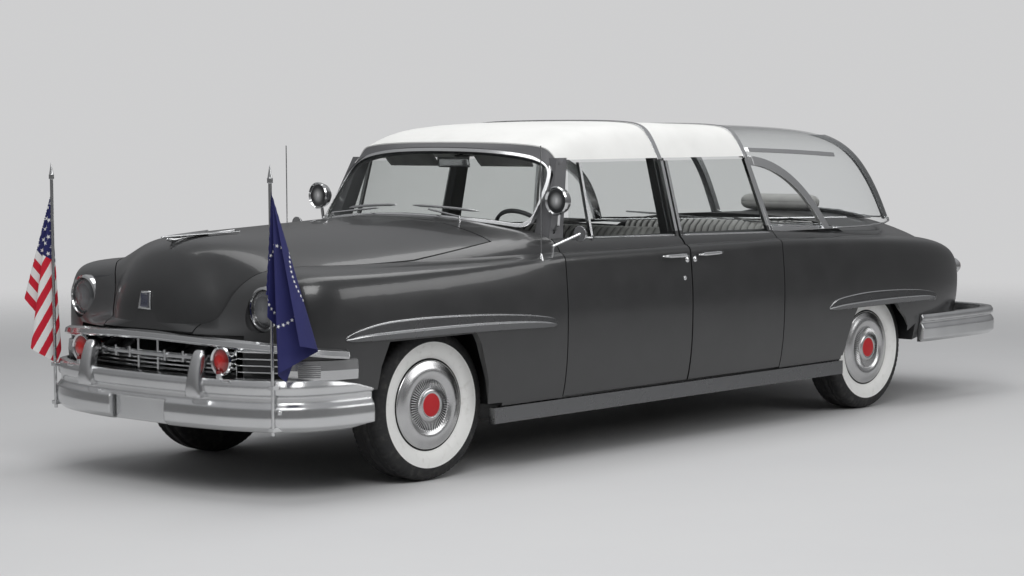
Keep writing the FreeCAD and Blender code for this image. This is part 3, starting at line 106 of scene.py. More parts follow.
class Value:
    """One number that changes over a surface, inside one finish."""

    def __init__(self, finish, socket):
        self.finish = finish
        self.socket = socket

    def math(self, operation, *others):
        settings = {"operation": operation}
        return self.finish.node("Math", settings, dict(enumerate((self, *others))))

    def __add__(self, other):
        return self.math("ADD", other)

    def __mul__(self, other):
        return self.math("MULTIPLY", other)

    def __sub__(self, other):
        return self.math("SUBTRACT", other)

    def __rsub__(self, other):
        return self.finish.node("Math", {"operation": "SUBTRACT"}, {0: other, 1: self})

    def __truediv__(self, other):
        return self.math("DIVIDE", other)

    def __pow__(self, other):
        return self.math("POWER", other)

    def __gt__(self, other):
        return self.math("GREATER_THAN", other)

    def __lt__(self, other):
        return self.math("LESS_THAN", other)

    __radd__ = __add__
    __rmul__ = __mul__

    def between(self, low, high):
        return (self > low) * (self < high)

    def fade(self, low, high):
        """Zero below low, one above high, and smooth between them."""
        settings = {"interpolation_type": "SMOOTHSTEP"}
        return self.finish.node("MapRange", settings, {0: self, 1: low, 2: high})


print("a value also knows", [name for name in vars(Value) if not name.startswith("_")])

# %% [markdown]
# ## One way to write every finish
# Each material is a Principled surface with a handful of sockets that vary. The class below
# holds the tree, makes any node from its type, settings and inputs, and ends with the surface.
# A finish is then put on a piece with wear, and dress also says which body the piece moves with.

# %% A finish and its nodes


class Finish:
    """A procedural material, built one expression at a time."""

    def __init__(self, name):
        self.material = bpy.data.materials.new(name)
        self.material.use_nodes = True
        self.tree = self.material.node_tree
        self.tree.nodes.clear()
        self.place = self.node("TexCoord", out="Object")
        self.x, self.y, self.z = self.split(self.place)

    def split(self, vector):
        """The three numbers of a vector."""
        parts = self.tree.nodes.new("ShaderNodeSeparateXYZ")
        self.tree.links.new(vector.socket, parts.inputs[0])
        return [Value(self, parts.outputs[i]) for i in range(3)]

    def node(self, kind, settings=None, inputs=None, out=0):
        """Any node: its settings go in first, then the values or links of its sockets."""
        made = self.tree.nodes.new("ShaderNode" + kind)
        for key, value in (settings or {}).items():
            setattr(made, key, value)
        for key, value in (inputs or {}).items():
            if isinstance(value, Value):
                self.tree.links.new(value.socket, made.inputs[key])
            else:
                made.inputs[key].default_value = value
        return Value(self, made.outputs[out])

    def noise(self, scale, detail=3.0, rough=0.55, stretch=None):
        where = self.place
        if stretch:
            settings = {"operation": "MULTIPLY"}
            where = self.node("VectorMath", settings, {0: self.place, 1: stretch})
        return self.node("TexNoise", inputs={"Vector": where, "Scale": scale,
                                             "Detail": detail, "Roughness": rough})

    def mix(self, factor, first, second):
        """Blends two colours, or two links that carry colours."""
        made = self.tree.nodes.new("ShaderNodeMix")
        made.data_type = "RGBA"
        for socket, value in zip((made.inputs[0], made.inputs[6], made.inputs[7]),
                                 (factor, first, second)):
            if isinstance(value, Value):
                self.tree.links.new(value.socket, socket)
            elif isinstance(value, tuple):
                socket.default_value = (*value, 1.0)
            else:
                socket.default_value = value
        return Value(self, made.outputs[2])

    def bump(self, height, strength, distance=0.001):
        return self.node("Bump", inputs={"Height": height, "Strength": strength,
                                         "Distance": distance})

    def surface(self, **sockets):
        """Ends the finish: sockets are named as on the shader, with _ for spaces."""
        values = {}
        for key, value in sockets.items():
            values[key.replace("_", " ")] = (*value, 1.0) if isinstance(value, tuple) else value
        return self.end_with(self.node("BsdfPrincipled", inputs=values))

    def end_with(self, shader):
        end = self.tree.nodes.new("ShaderNodeOutputMaterial")
        self.tree.links.new(shader.socket, end.inputs[0])
        return self.material


def wear(piece, material):
    """Gives a piece, or a node by its name, one finish."""
    thing = nodes[piece] if isinstance(piece, str) else piece
    thing.data.materials.clear()
    thing.data.materials.append(material)


def dress(piece, body, slot, material):
    """An added piece moves with a body and wears a finish; slot is not used."""
    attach(piece, body)
    wear(piece, material)


print("finishes are put on with", wear.__name__, "and", dress.__name__)

# %% [markdown]
# ## Paint
# The body is a deep charcoal enamel: nearly black, with the soft grey of the sky lying on the
# tops of the wings. A clear coat over a dark base gives that, and two very weak noises keep it
# from looking like plastic: an orange-peel ripple, and a change of gloss from old polish.

# %% Charcoal enamel and the bright edges on it

CHARCOAL, CHARCOAL_WORN = (0.019, 0.0193, 0.02), (0.024, 0.0243, 0.0252)
CHROME = (0.66, 0.665, 0.67)
HANDLE_OUT, HANDLE_LOW, HANDLE_HIGH = 0.981, 0.985, 1.02


def enamel(name, bright=None):
    """Paint; bright says which part of the same solid is plated instead."""
    f = Finish(name)
    peel = f.noise(900.0, 1.0)
    polish = f.noise(6.0, 4.0)
    tone = f.mix(polish.fade(0.3, 0.8), CHARCOAL, CHARCOAL_WORN)
    rough = 0.26 + polish * 0.1
    metal = 0.0
    if bright:
        mask = bright(f)
        tone = f.mix(mask, tone, CHROME)
        rough = rough * (1 - mask) + mask * 0.16
        metal = mask
    return f.surface(Base_Color=tone, Roughness=rough, Metallic=metal, Coat_Weight=0.5,
                     Coat_Roughness=0.06, Normal=f.bump(peel, 0.04, 0.0004))


def door_brightwork(f):
    """The handles that stand off the skin and the frames above the belt."""
    out = f.x.math("ABSOLUTE")
    handle = (out > HANDLE_OUT) * f.z.between(HANDLE_LOW, HANDLE_HIGH)
    frame_above = f.z > BELT + 0.004
    return handle.math("MAXIMUM", frame_above)


paint = enamel("charcoal_enamel")
door_paint = enamel("door_enamel", door_brightwork)
for name in ("body_tub", "front_wings", "bonnet", "boot_lid"):
    wear(name, paint)
for end in ("front", "rear"):
    for side in ("left", "right"):
        wear(f"{end}_door_{side}", door_paint)
print("painted", paint.name)

# %% [markdown]
# ## Plated metal
# Bumpers, grille and mouldings are plated and a little dulled by handling. Cloudy noise in the
# roughness breaks the mirror, and fine scratches run along the car. The bumpers get a wider
# rounding of their corners, and the mouldings a satin plate with painted shade: it is painted
# darker wherever it does not face upwards.

# %% Plated metal


def plated(name, colour=CHROME, rough=0.14, painted_shade_colour=None, edge=0.004):
    """Plate; edge rounds the corners when no shade colour is given. A shade colour, when given, is
    painted shade on every face that does not point upwards.
    """
    f = Finish(name)
    cloud = f.noise(5.0, 4.0)
    scratch = f.noise(60.0, 2.0, stretch=(1.0, 0.08, 6.0))
    tone = f.mix(cloud.fade(0.3, 0.8), colour, tuple(0.94 * c for c in colour))
    inputs = {"Height": scratch, "Strength": 0.02, "Distance": 0.0003}
    if painted_shade_colour:
        # Painted shade: every face that does not point upwards fades to the given dark colour.
        upward = f.split(f.node("NewGeometry", out="Normal"))[2]
        tone = f.mix(upward.fade(0.15, 0.75), painted_shade_colour, tone)
    else:
        inputs["Normal"] = f.node("Bevel", {"samples": 6}, {"Radius": edge})
    bump = f.node("Bump", inputs=inputs)
    return f.surface(Base_Color=tone, Metallic=1.0, Roughness=rough + cloud * 0.06, Normal=bump)


chrome = plated("bright_plate")
for name in ("grille", "windscreen_frame", "roof_hoops", "dome_frame", "mirrors", "aerials",
             "flag_staffs", "wipers"):
    wear(name, chrome)
thick_plate = plated("bumper_plate", CHROME, 0.17, None, 0.016)
for name in ("front_bumper", "rear_bumper"):
    wear(name, thick_plate)
# The last colour here is painted shade on the faces of the mouldings that do not point upwards.
satin_painted_shade = plated("satin_moulding", (0.6, 0.605, 0.61), 0.24, (0.17, 0.172, 0.176))
print("plated", chrome.name, thick_plate.name, satin_painted_shade.name)

# %% [markdown]
# ## Glass and the clear dome
# Real panes are thin sheets, and here each is a closed solid, so refraction would double every
# line behind it. A mix of a plain transparent surface and a glossy one, weighted by the angle
# of view, looks like a clean pane and keeps the inside of the car readable.

# %% Panes


def pane(name, tint, share, glancing):
    """Clear sheet: mostly see-through, glossier at a glancing angle."""
    f = Finish(name)
    rim = f.node("LayerWeight", inputs={"Blend": 0.5}, out=1) ** 4.0
    dust = f.noise(14.0, 4.0)
    clear = f.node("BsdfTransparent", inputs={"Color": (*tint, 1.0)})
    shine = f.node("BsdfPrincipled", inputs={
        "Base Color": (0.02, 0.022, 0.022, 1.0), "Roughness": 0.03 + dust * 0.03,
        "Specular IOR Level": 0.6})
    return f.end_with(f.node("MixShader", inputs={0: rim * glancing + share, 1: clear, 2: shine}))


screen = pane("screen_pane", (0.92, 0.93, 0.925), 0.03, 0.55)
dome = pane("dome_sheet", (0.975, 0.98, 0.98), 0.012, 0.28)
for name in ("windscreen_glass", "front_glass_left", "front_glass_right", "rear_glass_left",
             "rear_glass_right"):
    wear(name, screen)
wear("dome_glass", dome)
print("panes", screen.name, dome.name)

# %% [markdown]
# ## Roof cloth, header and hidden metal
# The white roof is a coated cloth pulled tight over its bows: a fine square weave under a
# matt coat. Two crossed waves of the same pitch make the weave. What is underneath the car is
# satin black with road dust, and it gets lighter towards the ground.

# %% Cloth and black metal


def weave(f, pitch):
    """Height of a plain weave with threads along the car and across it."""
    turn = 2 * math.pi / pitch
    along = (f.y * turn).math("SINE")
    across = (f.x * turn).math("SINE")
    return along * across * 0.5 + 0.5


def roof_cloth():
    f = Finish("roof_cloth")
    cloud = f.noise(3.0, 4.0)
    tone = f.mix(cloud.fade(0.35, 0.8), (0.84, 0.84, 0.82), (0.76, 0.76, 0.74))
    return f.surface(Base_Color=tone, Roughness=0.62 + cloud * 0.1,
                     Normal=f.bump(weave(f, 0.004), 0.12, 0.0004))


def black_metal(name, colour, rough):
    f = Finish(name)
    grime = f.noise(22.0, 5.0)
    low = 1 - f.z.fade(0.15, 0.5)
    tone = f.mix(grime.fade(0.4, 0.8) * low * 0.6, colour, (0.11, 0.1, 0.09))
    return f.surface(Base_Color=tone, Roughness=rough + grime * 0.2,
                     Normal=f.bump(grime, 0.15, 0.001))


wear("roof_panels", roof_cloth())
header_grey = black_metal("header_grey", (0.1, 0.1, 0.105), 0.4)
wear("windscreen_surround", header_grey)
frame_black = black_metal("frame_black", (0.02, 0.02, 0.021), 0.45)
for name in ("chassis_frame", "rear_axle", "radiator", "knuckle_left", "knuckle_right"):
    wear(name, frame_black)
for name in ("dashboard", "steering_wheel"):
    wear(name, header_grey)
wear("engine_block", black_metal("engine_paint", (0.05, 0.065, 0.06), 0.4))
wear("exhaust", black_metal("exhaust_steel", (0.16, 0.14, 0.12), 0.5))
print("under the car", frame_black.name)

# %% [markdown]
# ## Tyres
# A white-wall tyre is one moulding: a black carcass, a white band from the bead almost to the
# shoulder, and a tread of zigzag ribs. The profile is turned round the axle in many steps and
# the tread is cut by moving the ring points, so grooves and shoulder cuts are real geometry.

# %% A lathe for things that turn about an axle


def lathe(name, profile, centre, steps, shift=None, axis="X"):
    """Turns (across, radius) points round an axle; shift(angle, i) moves a ring point."""
    mesh = bmesh.new()
    rings = []
    for step in range(steps):
        angle = 2 * math.pi * step / steps
        ring = []
        for i, (across, radius) in enumerate(profile):
            a, r = across, radius
            if shift:
                da, dr = shift(angle, i)
                a, r = a + da, r + dr
            point = Vector((a, r * math.cos(angle), r * math.sin(angle)))
            if axis == "Y":
                point = Vector((r * math.cos(angle), a, r * math.sin(angle)))
            ring.append(mesh.verts.new(centre + point))
        rings.append(ring)
    for step in range(steps):
        here, after = rings[step], rings[(step + 1) % steps]
        for i in range(len(profile) - 1):
            mesh.faces.new((here[i], here[i + 1], after[i + 1], after[i]))
    return as_object(name, mesh)


def as_object(name, mesh, smooth=True):
    """Cleans a finished mesh and puts it in the scene."""
    bmesh.ops.remove_doubles(mesh, verts=mesh.verts, dist=1e-6)
    bmesh.ops.recalc_face_normals(mesh, faces=mesh.faces)
    data = bpy.data.meshes.new(name)
    mesh.to_mesh(data)
    mesh.free()
    for face in data.polygons:
        face.use_smooth = smooth
    thing = bpy.data.objects.new(name, data)
    bpy.context.scene.collection.objects.link(thing)
    return thing


def facing(way, line):
    """A lathe line drawn for the left side, turned to face outwards on either side."""
    return [(way * across, radius) for across, radius in line]


def wheel_radius(f):
    """The distance from the nearer axle, on any of the four wheels."""
    dy = (f.y - front_y).math("ABSOLUTE").math("MINIMUM", (f.y - rear_y).math("ABSOLUTE"))
    dz = f.z - hub_z
    return (dy * dy + dz * dz) ** 0.5


print("turned pieces are made by", lathe.__name__)

# %% [markdown]
# The side of the tyre has fine rings, a raised scuff rib at each edge of the white band and a
# rounded shoulder. Two zigzag grooves and a row of shoulder cuts make the tread. The profile is
# listed from the bead to the middle of the tread, so the tread's grooves are known by the
# numbers of their points.

# %% Tyres with a cut tread
rim_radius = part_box("wheel_front_left")[1].z - hub_z
WHITE_BAND = (0.222, 0.301)
side_profile = [(0.070, rim_radius), (0.080, 0.222), (0.094, 0.236), (0.1015, 0.262),
                (0.1035, 0.288), (0.1035, 0.301), (0.1045, 0.304), (0.1035, 0.308),
                (0.1015, 0.322), (0.097, 0.338), (0.090, 0.350), (0.082, 0.3575)]
tread_line = [(0.074, 0.3605), (0.066, 0.362), (0.058, 0.3628), (0.0505, 0.3632),
              (0.0495, 0.3632), (0.0405, 0.3636), (0.0395, 0.3636), (0.028, 0.364),
              (0.0175, 0.3644), (0.0165, 0.3644), (0.0075, 0.3648), (0.0065, 0.3648)]
half_profile = side_profile + tread_line
tyre_profile = half_profile + [(-a, r) for a, r in reversed(half_profile)]
SHOULDER, RIBS, GROOVES = 9, 14, (15, 16, 19, 20)
ZIGZAG, SHOULDER_CUT, GROOVE_DEPTH = 0.0016, 0.005, 0.008
TREAD_STEPS = 288
last_point = len(tyre_profile) - 1


def tread(angle, i):
    """Zigzags the ribs and sinks the grooves and the cuts at the shoulder."""
    k = min(i, last_point - i)
    side = 1 if i == k else -1
    if k < SHOULDER:
        return 0.0, 0.0
    tooth = round(angle * TREAD_STEPS / (2 * math.pi))
    if k < RIBS:
        return 0.0, (-SHOULDER_CUT if tooth % 4 == 0 else 0.0)
    zigzag = (abs(tooth % 8 - 4) - 2) * ZIGZAG
    return side * zigzag, (-GROOVE_DEPTH if k in GROOVES else 0.0)


def rubber():
    f = Finish("white_wall_rubber")
    r = wheel_radius(f)
    white = r.between(*WHITE_BAND) * (f.x.math("ABSOLUTE") > hub_x)
    rings = (r * 1400.0).math("SINE")
    dust = f.noise(30.0, 5.0)
    black = f.mix(dust.fade(0.45, 0.8), (0.016, 0.016, 0.017), (0.045, 0.043, 0.04))
    pale = f.mix(dust.fade(0.5, 0.9), (0.8, 0.8, 0.78), (0.62, 0.61, 0.58))
    height = rings * (1 - white) * 0.4 + dust * 0.3
    return f.surface(Base_Color=f.mix(white, black, pale), Roughness=0.78 - white * 0.2,
                     Normal=f.bump(height, 0.25, 0.0008))


tyre_rubber = rubber()
for end, side, way, centre in CORNERS:
    tyre = lathe(f"tread_{end}_{side}", tyre_profile, centre, TREAD_STEPS, tread)
    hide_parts(f"tyre_{end}_{side}")
    dress(tyre, f"wheel_{end}_{side}", "tyre_rubber", tyre_rubber)
print("tyres", len(CORNERS), "with", len(tyre.data.polygons), "faces each")

# %% [markdown]
# ## Wheels and caps
# A pressed steel wheel is hidden behind a spun bright cap: a rolled edge, a broad crowned ring,
# a valley with sixty narrow slots fanning out from the middle, a bright collar and a red centre.
# Wheel and cap are turned from one line. The slots are cut by sinking every second group of ring
# points, which throws a real shadow in each one, and the sunk floors are also painted nearly
# black as painted shade. The steel wheel behind the cap takes the same dark colour.

# %% Wheels with slotted caps
CAP_STEPS = 240
BORE = 0.0303
wheel_back = [(0.072, BORE), (-0.028, BORE), (-0.028, 0.070), (0.008, 0.092), (0.008, 0.165),
              (-0.066, 0.196), (-0.066, rim_radius)]
cap_face = [(0.074, rim_radius), (0.081, 0.2145), (0.086, 0.2115), (0.088, 0.206),
            (0.0895, 0.196), (0.0945, 0.184), (0.0985, 0.170), (0.0995, 0.157), (0.0985, 0.145),
            (0.0955, 0.136), (0.0915, 0.129), (0.0895, 0.124), (0.0905, 0.121), (0.0970, 0.081),
            (0.0985, 0.078), (0.1005, 0.075), (0.1030, 0.069), (0.1040, 0.064), (0.1035, 0.060),
            (0.1020, 0.057), (0.1030, 0.054), (0.1052, 0.044), (0.1070, 0.026), (0.1078, 0.012),
            (0.1080, 0.0)]
wheel_profile = wheel_back + cap_face + [(0.072, 0.0), (0.072, BORE)]
SLOT_RINGS, SLOT_DEPTH = (len(wheel_back) + 12, len(wheel_back) + 13), 0.008


def slot_sink(angle, i):
    """How far a ring point sinks in: two steps of every four, on the rings of the slots."""
    tooth = round(angle * CAP_STEPS / (2 * math.pi))
    return -SLOT_DEPTH if i in SLOT_RINGS and tooth % 4 in (0, 1) else 0.0


def cap_metal():
    f = Finish("spun_cap")
    r = wheel_radius(f)
    out = f.x.math("ABSOLUTE") - hub_x
    red = (r < 0.0555) * (out > 0.1)
    # Painted shade: the sunk floors of the slots are painted nearly black.
    slot = r.between(0.080, 0.1225) * (out < 0.0943 - (r - 0.081) * 0.16)
    inner = out < 0.05
    spin = (r * 2600.0).math("SINE")
    cloud = f.noise(12.0, 4.0)
    tone = f.mix(cloud.fade(0.3, 0.8), (0.56, 0.56, 0.56), (0.5, 0.5, 0.505))
    # The slot floors, as painted shade, and the steel wheel behind the cap share this dark colour.
    tone = f.mix(slot.math("MAXIMUM", inner), tone, (0.03, 0.03, 0.032))
    tone = f.mix(red, tone, (0.46, 0.004, 0.009))
    return f.surface(Base_Color=tone, Metallic=1 - red,
                     Roughness=red * 0.3 + 0.2 + cloud * 0.08,
                     Normal=f.bump(spin, 0.05, 0.0002))


spun = cap_metal()
for end, side, way, centre in CORNERS:
    cap = lathe(f"cap_{end}_{side}", facing(way, wheel_profile), centre, CAP_STEPS,
                lambda angle, i, way=way: (way * slot_sink(angle, i), 0.0))
    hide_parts(f"wheel_{end}_{side}")
    dress(cap, f"wheel_{end}_{side}", "wheel_metal", spun)
print("caps", len(CORNERS), "with", len(cap.data.polygons), "faces each")

# %% [markdown]
# ## Lamps
# The headlamps are bright bowls behind fluted glass, the warning lamps in the grille have
# red glass, and so have the tail lamps. The solids already have the forms, so each only needs to
# know which of its parts is glass: that is read from the distance to the lamp's own axis. Each
# glass keeps its own tint, with a painted reflection lighter in its middle and painted shade
# darker at its rim.

# %% Round lamps
HEADLAMP, HEADLAMP_GLASS = Vector((0.67, 0, 0.865)), 0.088
SIREN, SIREN_GLASS = Vector((0.52, 0, 0.63)), 0.056
TAIL_LAMP, TAIL_GLASS = Vector((0.73, 0, 0.79)), 0.045


def from_axis(f, centre):
    """The distance from a lamp's axis, the same on both sides of the car."""
    dx = f.x.math("ABSOLUTE") - centre.x
    dz = f.z - centre.z
    return (dx * dx + dz * dz) ** 0.5


def lamp(name, centre, glass_radius, glass, rough, flutes):
    """Plated rim round a glass disc; flutes is the pitch of its ribs in metres. The glass colour
    runs from a painted reflection in the middle to painted shade at the rim.
    """
    f = Finish(name)
    r = from_axis(f, centre)
    inside = r < glass_radius
    rib = (f.x * (2 * math.pi / flutes)).math("SINE")
    cloud = f.noise(18.0, 3.0)
    # Painted reflection and painted shade: the glass's own tint is lighter in the middle and darker
    # at the rim.
    tone = f.mix(inside, CHROME, f.mix(r.fade(0.2 * glass_radius, glass_radius), *glass))
    return f.surface(Base_Color=tone, Metallic=1 - inside, Roughness=rough + cloud * 0.08,
                     Coat_Weight=inside, Coat_Roughness=0.03,
                     Normal=f.bump(rib * inside, 0.35, 0.0012))


# Each pair is the glass's tint at its middle, lightened as a painted reflection, and at its rim,
# darkened as painted shade.
wear("headlamps", lamp("headlamp_glass", HEADLAMP, HEADLAMP_GLASS,
                       ((0.13, 0.134, 0.14), (0.03, 0.031, 0.033)), 0.05, 0.012))
wear("siren_lamps", lamp("warning_lamp", SIREN, SIREN_GLASS,
                         ((0.5, 0.012, 0.01), (0.14, 0.003, 0.003)), 0.06, 0.3))
wear("tail_lamps", lamp("tail_lamp", TAIL_LAMP, TAIL_GLASS,
                        ((0.5, 0.015, 0.012), (0.3, 0.008, 0.008)), 0.15, 0.01))
print("lamps at x and z", HEADLAMP.xz[:], SIREN.xz[:], TAIL_LAMP.xz[:])

# %% [markdown]
# The spotlights have clear glass over a deep reflector. The reflector's look, bright in its middle
# and dark round the edge, is painted on the glass: a painted reflection with painted shade round
# it. Their shells are seen from behind as well, so the glass is kept to the front face. The side
# lamps are bright housings whose front alone is a lens with level ribs, with a painted highlight
# on each rib and painted shade in each hollow.

# %% Spotlights and side lamps
SPOT, SPOT_GLASS = Vector((0.88, front_y + 0.89, 1.31)), 0.0605
# Painted reflection in the middle of the spotlight glass and painted shade round its edge.
SPOT_PAINTED_REFLECTION, SPOT_PAINTED_SHADE = (0.62, 0.625, 0.63), (0.035, 0.036, 0.038)
# The two lens greys are a painted highlight on the crest of each rib and painted shade in its
# hollow.
RIB_PITCH, RIB_PAINTED_SHADE, RIB_PAINTED_HIGHLIGHT = 0.009, (0.07, 0.072, 0.075), (0.3, 0.305, 0.31)


def spot_glass():
    """A plated shell with clear glass over a deep reflector, on its front face alone; the reflector
    is a painted reflection in the middle of the glass, with painted shade round it.
    """
    f = Finish("spot_glass")
    r = from_axis(f, SPOT)
    inside = (r < SPOT_GLASS) * (f.y < SPOT.y - 0.004)
    cloud = f.noise(20.0, 3.0)
    # Painted reflection and painted shade: light grey in the middle of the glass, dark towards its
    # edge.
    painted_reflector_look = f.mix(r.fade(0.1 * SPOT_GLASS, 0.8 * SPOT_GLASS), SPOT_PAINTED_REFLECTION, SPOT_PAINTED_SHADE)
    return f.surface(Base_Color=f.mix(inside, CHROME, painted_reflector_look), Metallic=1 - inside * 0.6,
                     Roughness=0.08 + cloud * 0.06, Coat_Weight=inside, Coat_Roughness=0.03)


def ribbed_lens():
    """A plated housing; only the front of it is glass with flat ribs, with a painted highlight on
    each rib and painted shade in each hollow.
    """
    f = Finish("side_lens")
    rib = (f.z * (2 * math.pi / RIB_PITCH)).math("SINE")
    low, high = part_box("side_lamps")
    front = (f.y < low.y + 0.1) * f.z.between(low.z + 0.016, high.z - 0.02)
    glass = front * f.x.math("ABSOLUTE").between(high.x - 0.13, high.x - 0.035)
    cloud = f.noise(20.0, 3.0)
    # Painted highlight on the crest of each rib, painted shade in the hollows.
    lens = f.mix(rib.fade(-1.0, 1.0), RIB_PAINTED_SHADE, RIB_PAINTED_HIGHLIGHT)
    tone = f.mix(glass, tuple(0.8 * c for c in CHROME), lens)
    return f.surface(Base_Color=tone, Metallic=1 - glass, Roughness=0.2 + cloud * 0.08,
                     Coat_Weight=glass, Normal=f.bump(rib * glass, 0.6, 0.002))


wear("spotlights", spot_glass())
wear("side_lamps", ribbed_lens())
print("spotlight at", [round(v, 3) for v in SPOT])

# %% [markdown]
# ## Cabin
# The benches are sprung seats in grey broadcloth with sewn vertical pleats. Each is built as a
# crowned pad, wider than it is deep, with a channel pressed in at every pleat, so the row of
# soft ridges shows through the side windows as it does in life. The cloth is also painted
# nearly black down in the channels, as painted shade.

# %% Pleated pads

SQUARE = ((0, 0), (1, 0), (1, 1), (0, 1))
PAD_ROWS, STEPS_A_PLEAT, SIDE_ROUND = 14, 6, 0.012


def close_sheets(mesh, grid, columns, rows):
    """Skins two sheets of points, grid[sheet, i, j], and the band round their edges."""
    for i in columns[:-1]:
        for j in rows[:-1]:
            for sheet in (0, 1):
                mesh.faces.new([grid[sheet, i + a, j + b] for a, b in SQUARE])
    for i in columns[:-1]:
        for j in (rows[0], rows[-1]):
            mesh.faces.new([grid[0, i, j], grid[0, i + 1, j], grid[1, i + 1, j], grid[1, i, j]])
    for j in rows[:-1]:
        for i in (columns[0], columns[-1]):
            mesh.faces.new([grid[0, i, j], grid[0, i, j + 1], grid[1, i, j + 1], grid[1, i, j]])


def pleated_pad(name, low, high, crown, pleats, lean=0.0, upright=False):
    """A soft box between two corners with pleats across the car; lean tilts it back."""
    mesh = bmesh.new()
    columns, rows = range(pleats * STEPS_A_PLEAT + 1), range(PAD_ROWS + 1)
    span = high - low
    grid = {}
    for sheet in (0, 1):
        for i in columns:
            for j in rows:
                u, v = i / columns[-1], j / rows[-1]
                ends = (4 * u * (1 - u)) ** 0.2
                edge = ends * (min(1, 9 * (1 - v)) ** 0.5 if upright else (4 * v * (1 - v)) ** 0.35)
                pleat = abs(math.sin(math.pi * pleats * u)) ** 0.6
                puff = crown * edge * (0.5 + 0.5 * pleat)
                inward = SIDE_ROUND * (1 - (4 * v * (1 - v)) ** 0.5)
                x = low.x + inward + (span.x - 2 * inward) * u
                if upright:
                    z = low.z + span.z * v - 0.01 * (1 - pleat) * v ** 6
                    y = (low.y + (crown - puff) if sheet else high.y) + lean * v
                else:
                    y = low.y + span.y * v
                    z = high.z - crown + puff if sheet else low.z
                grid[sheet, i, j] = mesh.verts.new((x, y, z))
    close_sheets(mesh, grid, columns, rows)
    return as_object(name, mesh)


def broadcloth(name, pleats=0, low_x=0.0, span=1.0):
    """Grey seat cloth; with pleats it has painted shade, nearly black, down in their channels."""
    f = Finish(name)
    cloud = f.noise(10.0, 4.0)
    tone = f.mix(cloud.fade(0.3, 0.8), (0.44, 0.435, 0.42), (0.34, 0.336, 0.33))
    if pleats:
        # Painted shade: the cloth is nearly black in the channels between the pleats and keeps its
        # grey on the ridges.
        ridge = ((f.x - low_x) * (math.pi * pleats / span)).math("SINE").math("ABSOLUTE")
        tone = f.mix(ridge.fade(0.0, 0.75), (0.05, 0.049, 0.047), tone)
    thread = weave(f, 0.0025)
    return f.surface(Base_Color=tone, Roughness=0.85 + cloud * 0.1, Sheen_Weight=0.3,
                     Normal=f.bump(thread + cloud * 0.4, 0.25, 0.0006))


PLEATS, INSET, FLOOR_TOP = 28, 0.02, 0.30
SEAT_HEIGHT, BACK_DEPTH, BACK_LEAN = 0.33, 0.20, 0.09
for row in ("front_seat", "rear_seat"):
    low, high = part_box(row)
    colour = broadcloth(row + "_cloth", PLEATS, low.x + INSET, high.x - low.x - 2 * INSET)
    seat_top = low.z + SEAT_HEIGHT
    back_front = high.y - BACK_DEPTH
    base_low = Vector((low.x + INSET, low.y + 0.004, max(low.z + 0.02, FLOOR_TOP)))
    base_high = Vector((high.x - INSET, back_front + 0.02, seat_top + 0.02))
    base = pleated_pad(row + "_cushion", base_low, base_high, 0.07, PLEATS)
    back_low = Vector((low.x + INSET, back_front - 0.05, seat_top - 0.02))
    back_high = Vector((high.x - INSET, high.y - 0.10, high.z - 0.005))
    back = pleated_pad(row + "_back", back_low, back_high, 0.06, PLEATS, BACK_LEAN, True)
    for pad in (base, back):
        dress(pad, "car", "seat_grey", colour)
        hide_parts(row)
    print(row, "pads to", round(high.z, 3))

# %% [markdown]
# ## Bright strips under the windows
# A thin bright bead runs under the side windows. Drawn as a straight bar it would leave the
# curved doors or sink into them, so it is laid on them by casting a line inwards at every step.

# %% Finding the skin and laying strips on it

OUTSIDE = 1.5


def skin(name, start, towards):
    """The point where a line first meets a solid."""
    thing = nodes[name]
    inverse = thing.matrix_world.inverted()
    origin, way = inverse @ Vector(start), inverse.to_3x3() @ Vector(towards)
    hit, place, _, _ = thing.ray_cast(origin, way.normalized())
    return thing.matrix_world @ place if hit else None


def loft(mesh, rings):
    """Joins closed rings of points into a skin and fills both ends."""
    for here, after in zip(rings, rings[1:]):
        for k in range(len(here)):
            m = (k + 1) % len(here)
            mesh.faces.new((here[k], here[m], after[m], after[k]))
    mesh.faces.new(rings[0])
    mesh.faces.new(list(reversed(rings[-1])))


def strip(name, path, outward, half_height, stand):
    """A half-round bead along points on a skin that faces outward."""
    mesh = bmesh.new()
    sides = 10
    rings = []
    for n, point in enumerate(path):
        taper = min(1.0, 0.35 + 0.65 * min(n, len(path) - 1 - n) / 3)
        ring = []
        for k in range(sides + 1):
            turn = math.pi * k / sides
            rise = Vector((0, 0, half_height * taper * math.cos(turn)))
            off = outward * (stand * taper * math.sin(turn) - 0.0006)
            ring.append(mesh.verts.new(point + rise + off))
        rings.append(ring)
    loft(mesh, rings)
    return as_object(name, mesh)


SILL_Z, SILL_FALL, SILL_START, END_GAP = 1.136, 0.019, 0.99, 0.012


def sill_height(y):
    """The line under the windows falls slightly towards the rear."""
    return SILL_Z - (y - front_y - 1.05) * SILL_FALL


for end in ("front", "rear"):
    for side, way in SIDES:
        door = f"{end}_door_{side}"
        low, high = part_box(door)
        first = max(low.y, front_y + SILL_START) + END_GAP
        path = []
        for n in range(41):
            y = first + (high.y - END_GAP - first) * n / 40
            for drop in (0.012, 0.02, 0.03):
                z = sill_height(y) - drop - 0.006
                point = skin(door, (way * OUTSIDE, y, z), (-way, 0, 0))
                if point and abs(point.x) > 0.8:
                    path.append(point)
                    break
        bead = strip(f"sill_{end}_{side}", path, Vector((way, 0, 0)), 0.0065, 0.006)
        dress(bead, door, "bright_metal", chrome)
        print(bead.name, "points", len(path), "middle", [round(v, 3) for v in path[20]])

# %% [markdown]
# A cord is a round bead along a line. One runs round the foot of the clear dome, and is found by
# casting inwards from all sides and keeping the lowest height at which the dome is met before
# the body. Flatter ones make the wiper blades, the pull handles and the bars beside the grille.

# %% Cords, and the bead round the dome


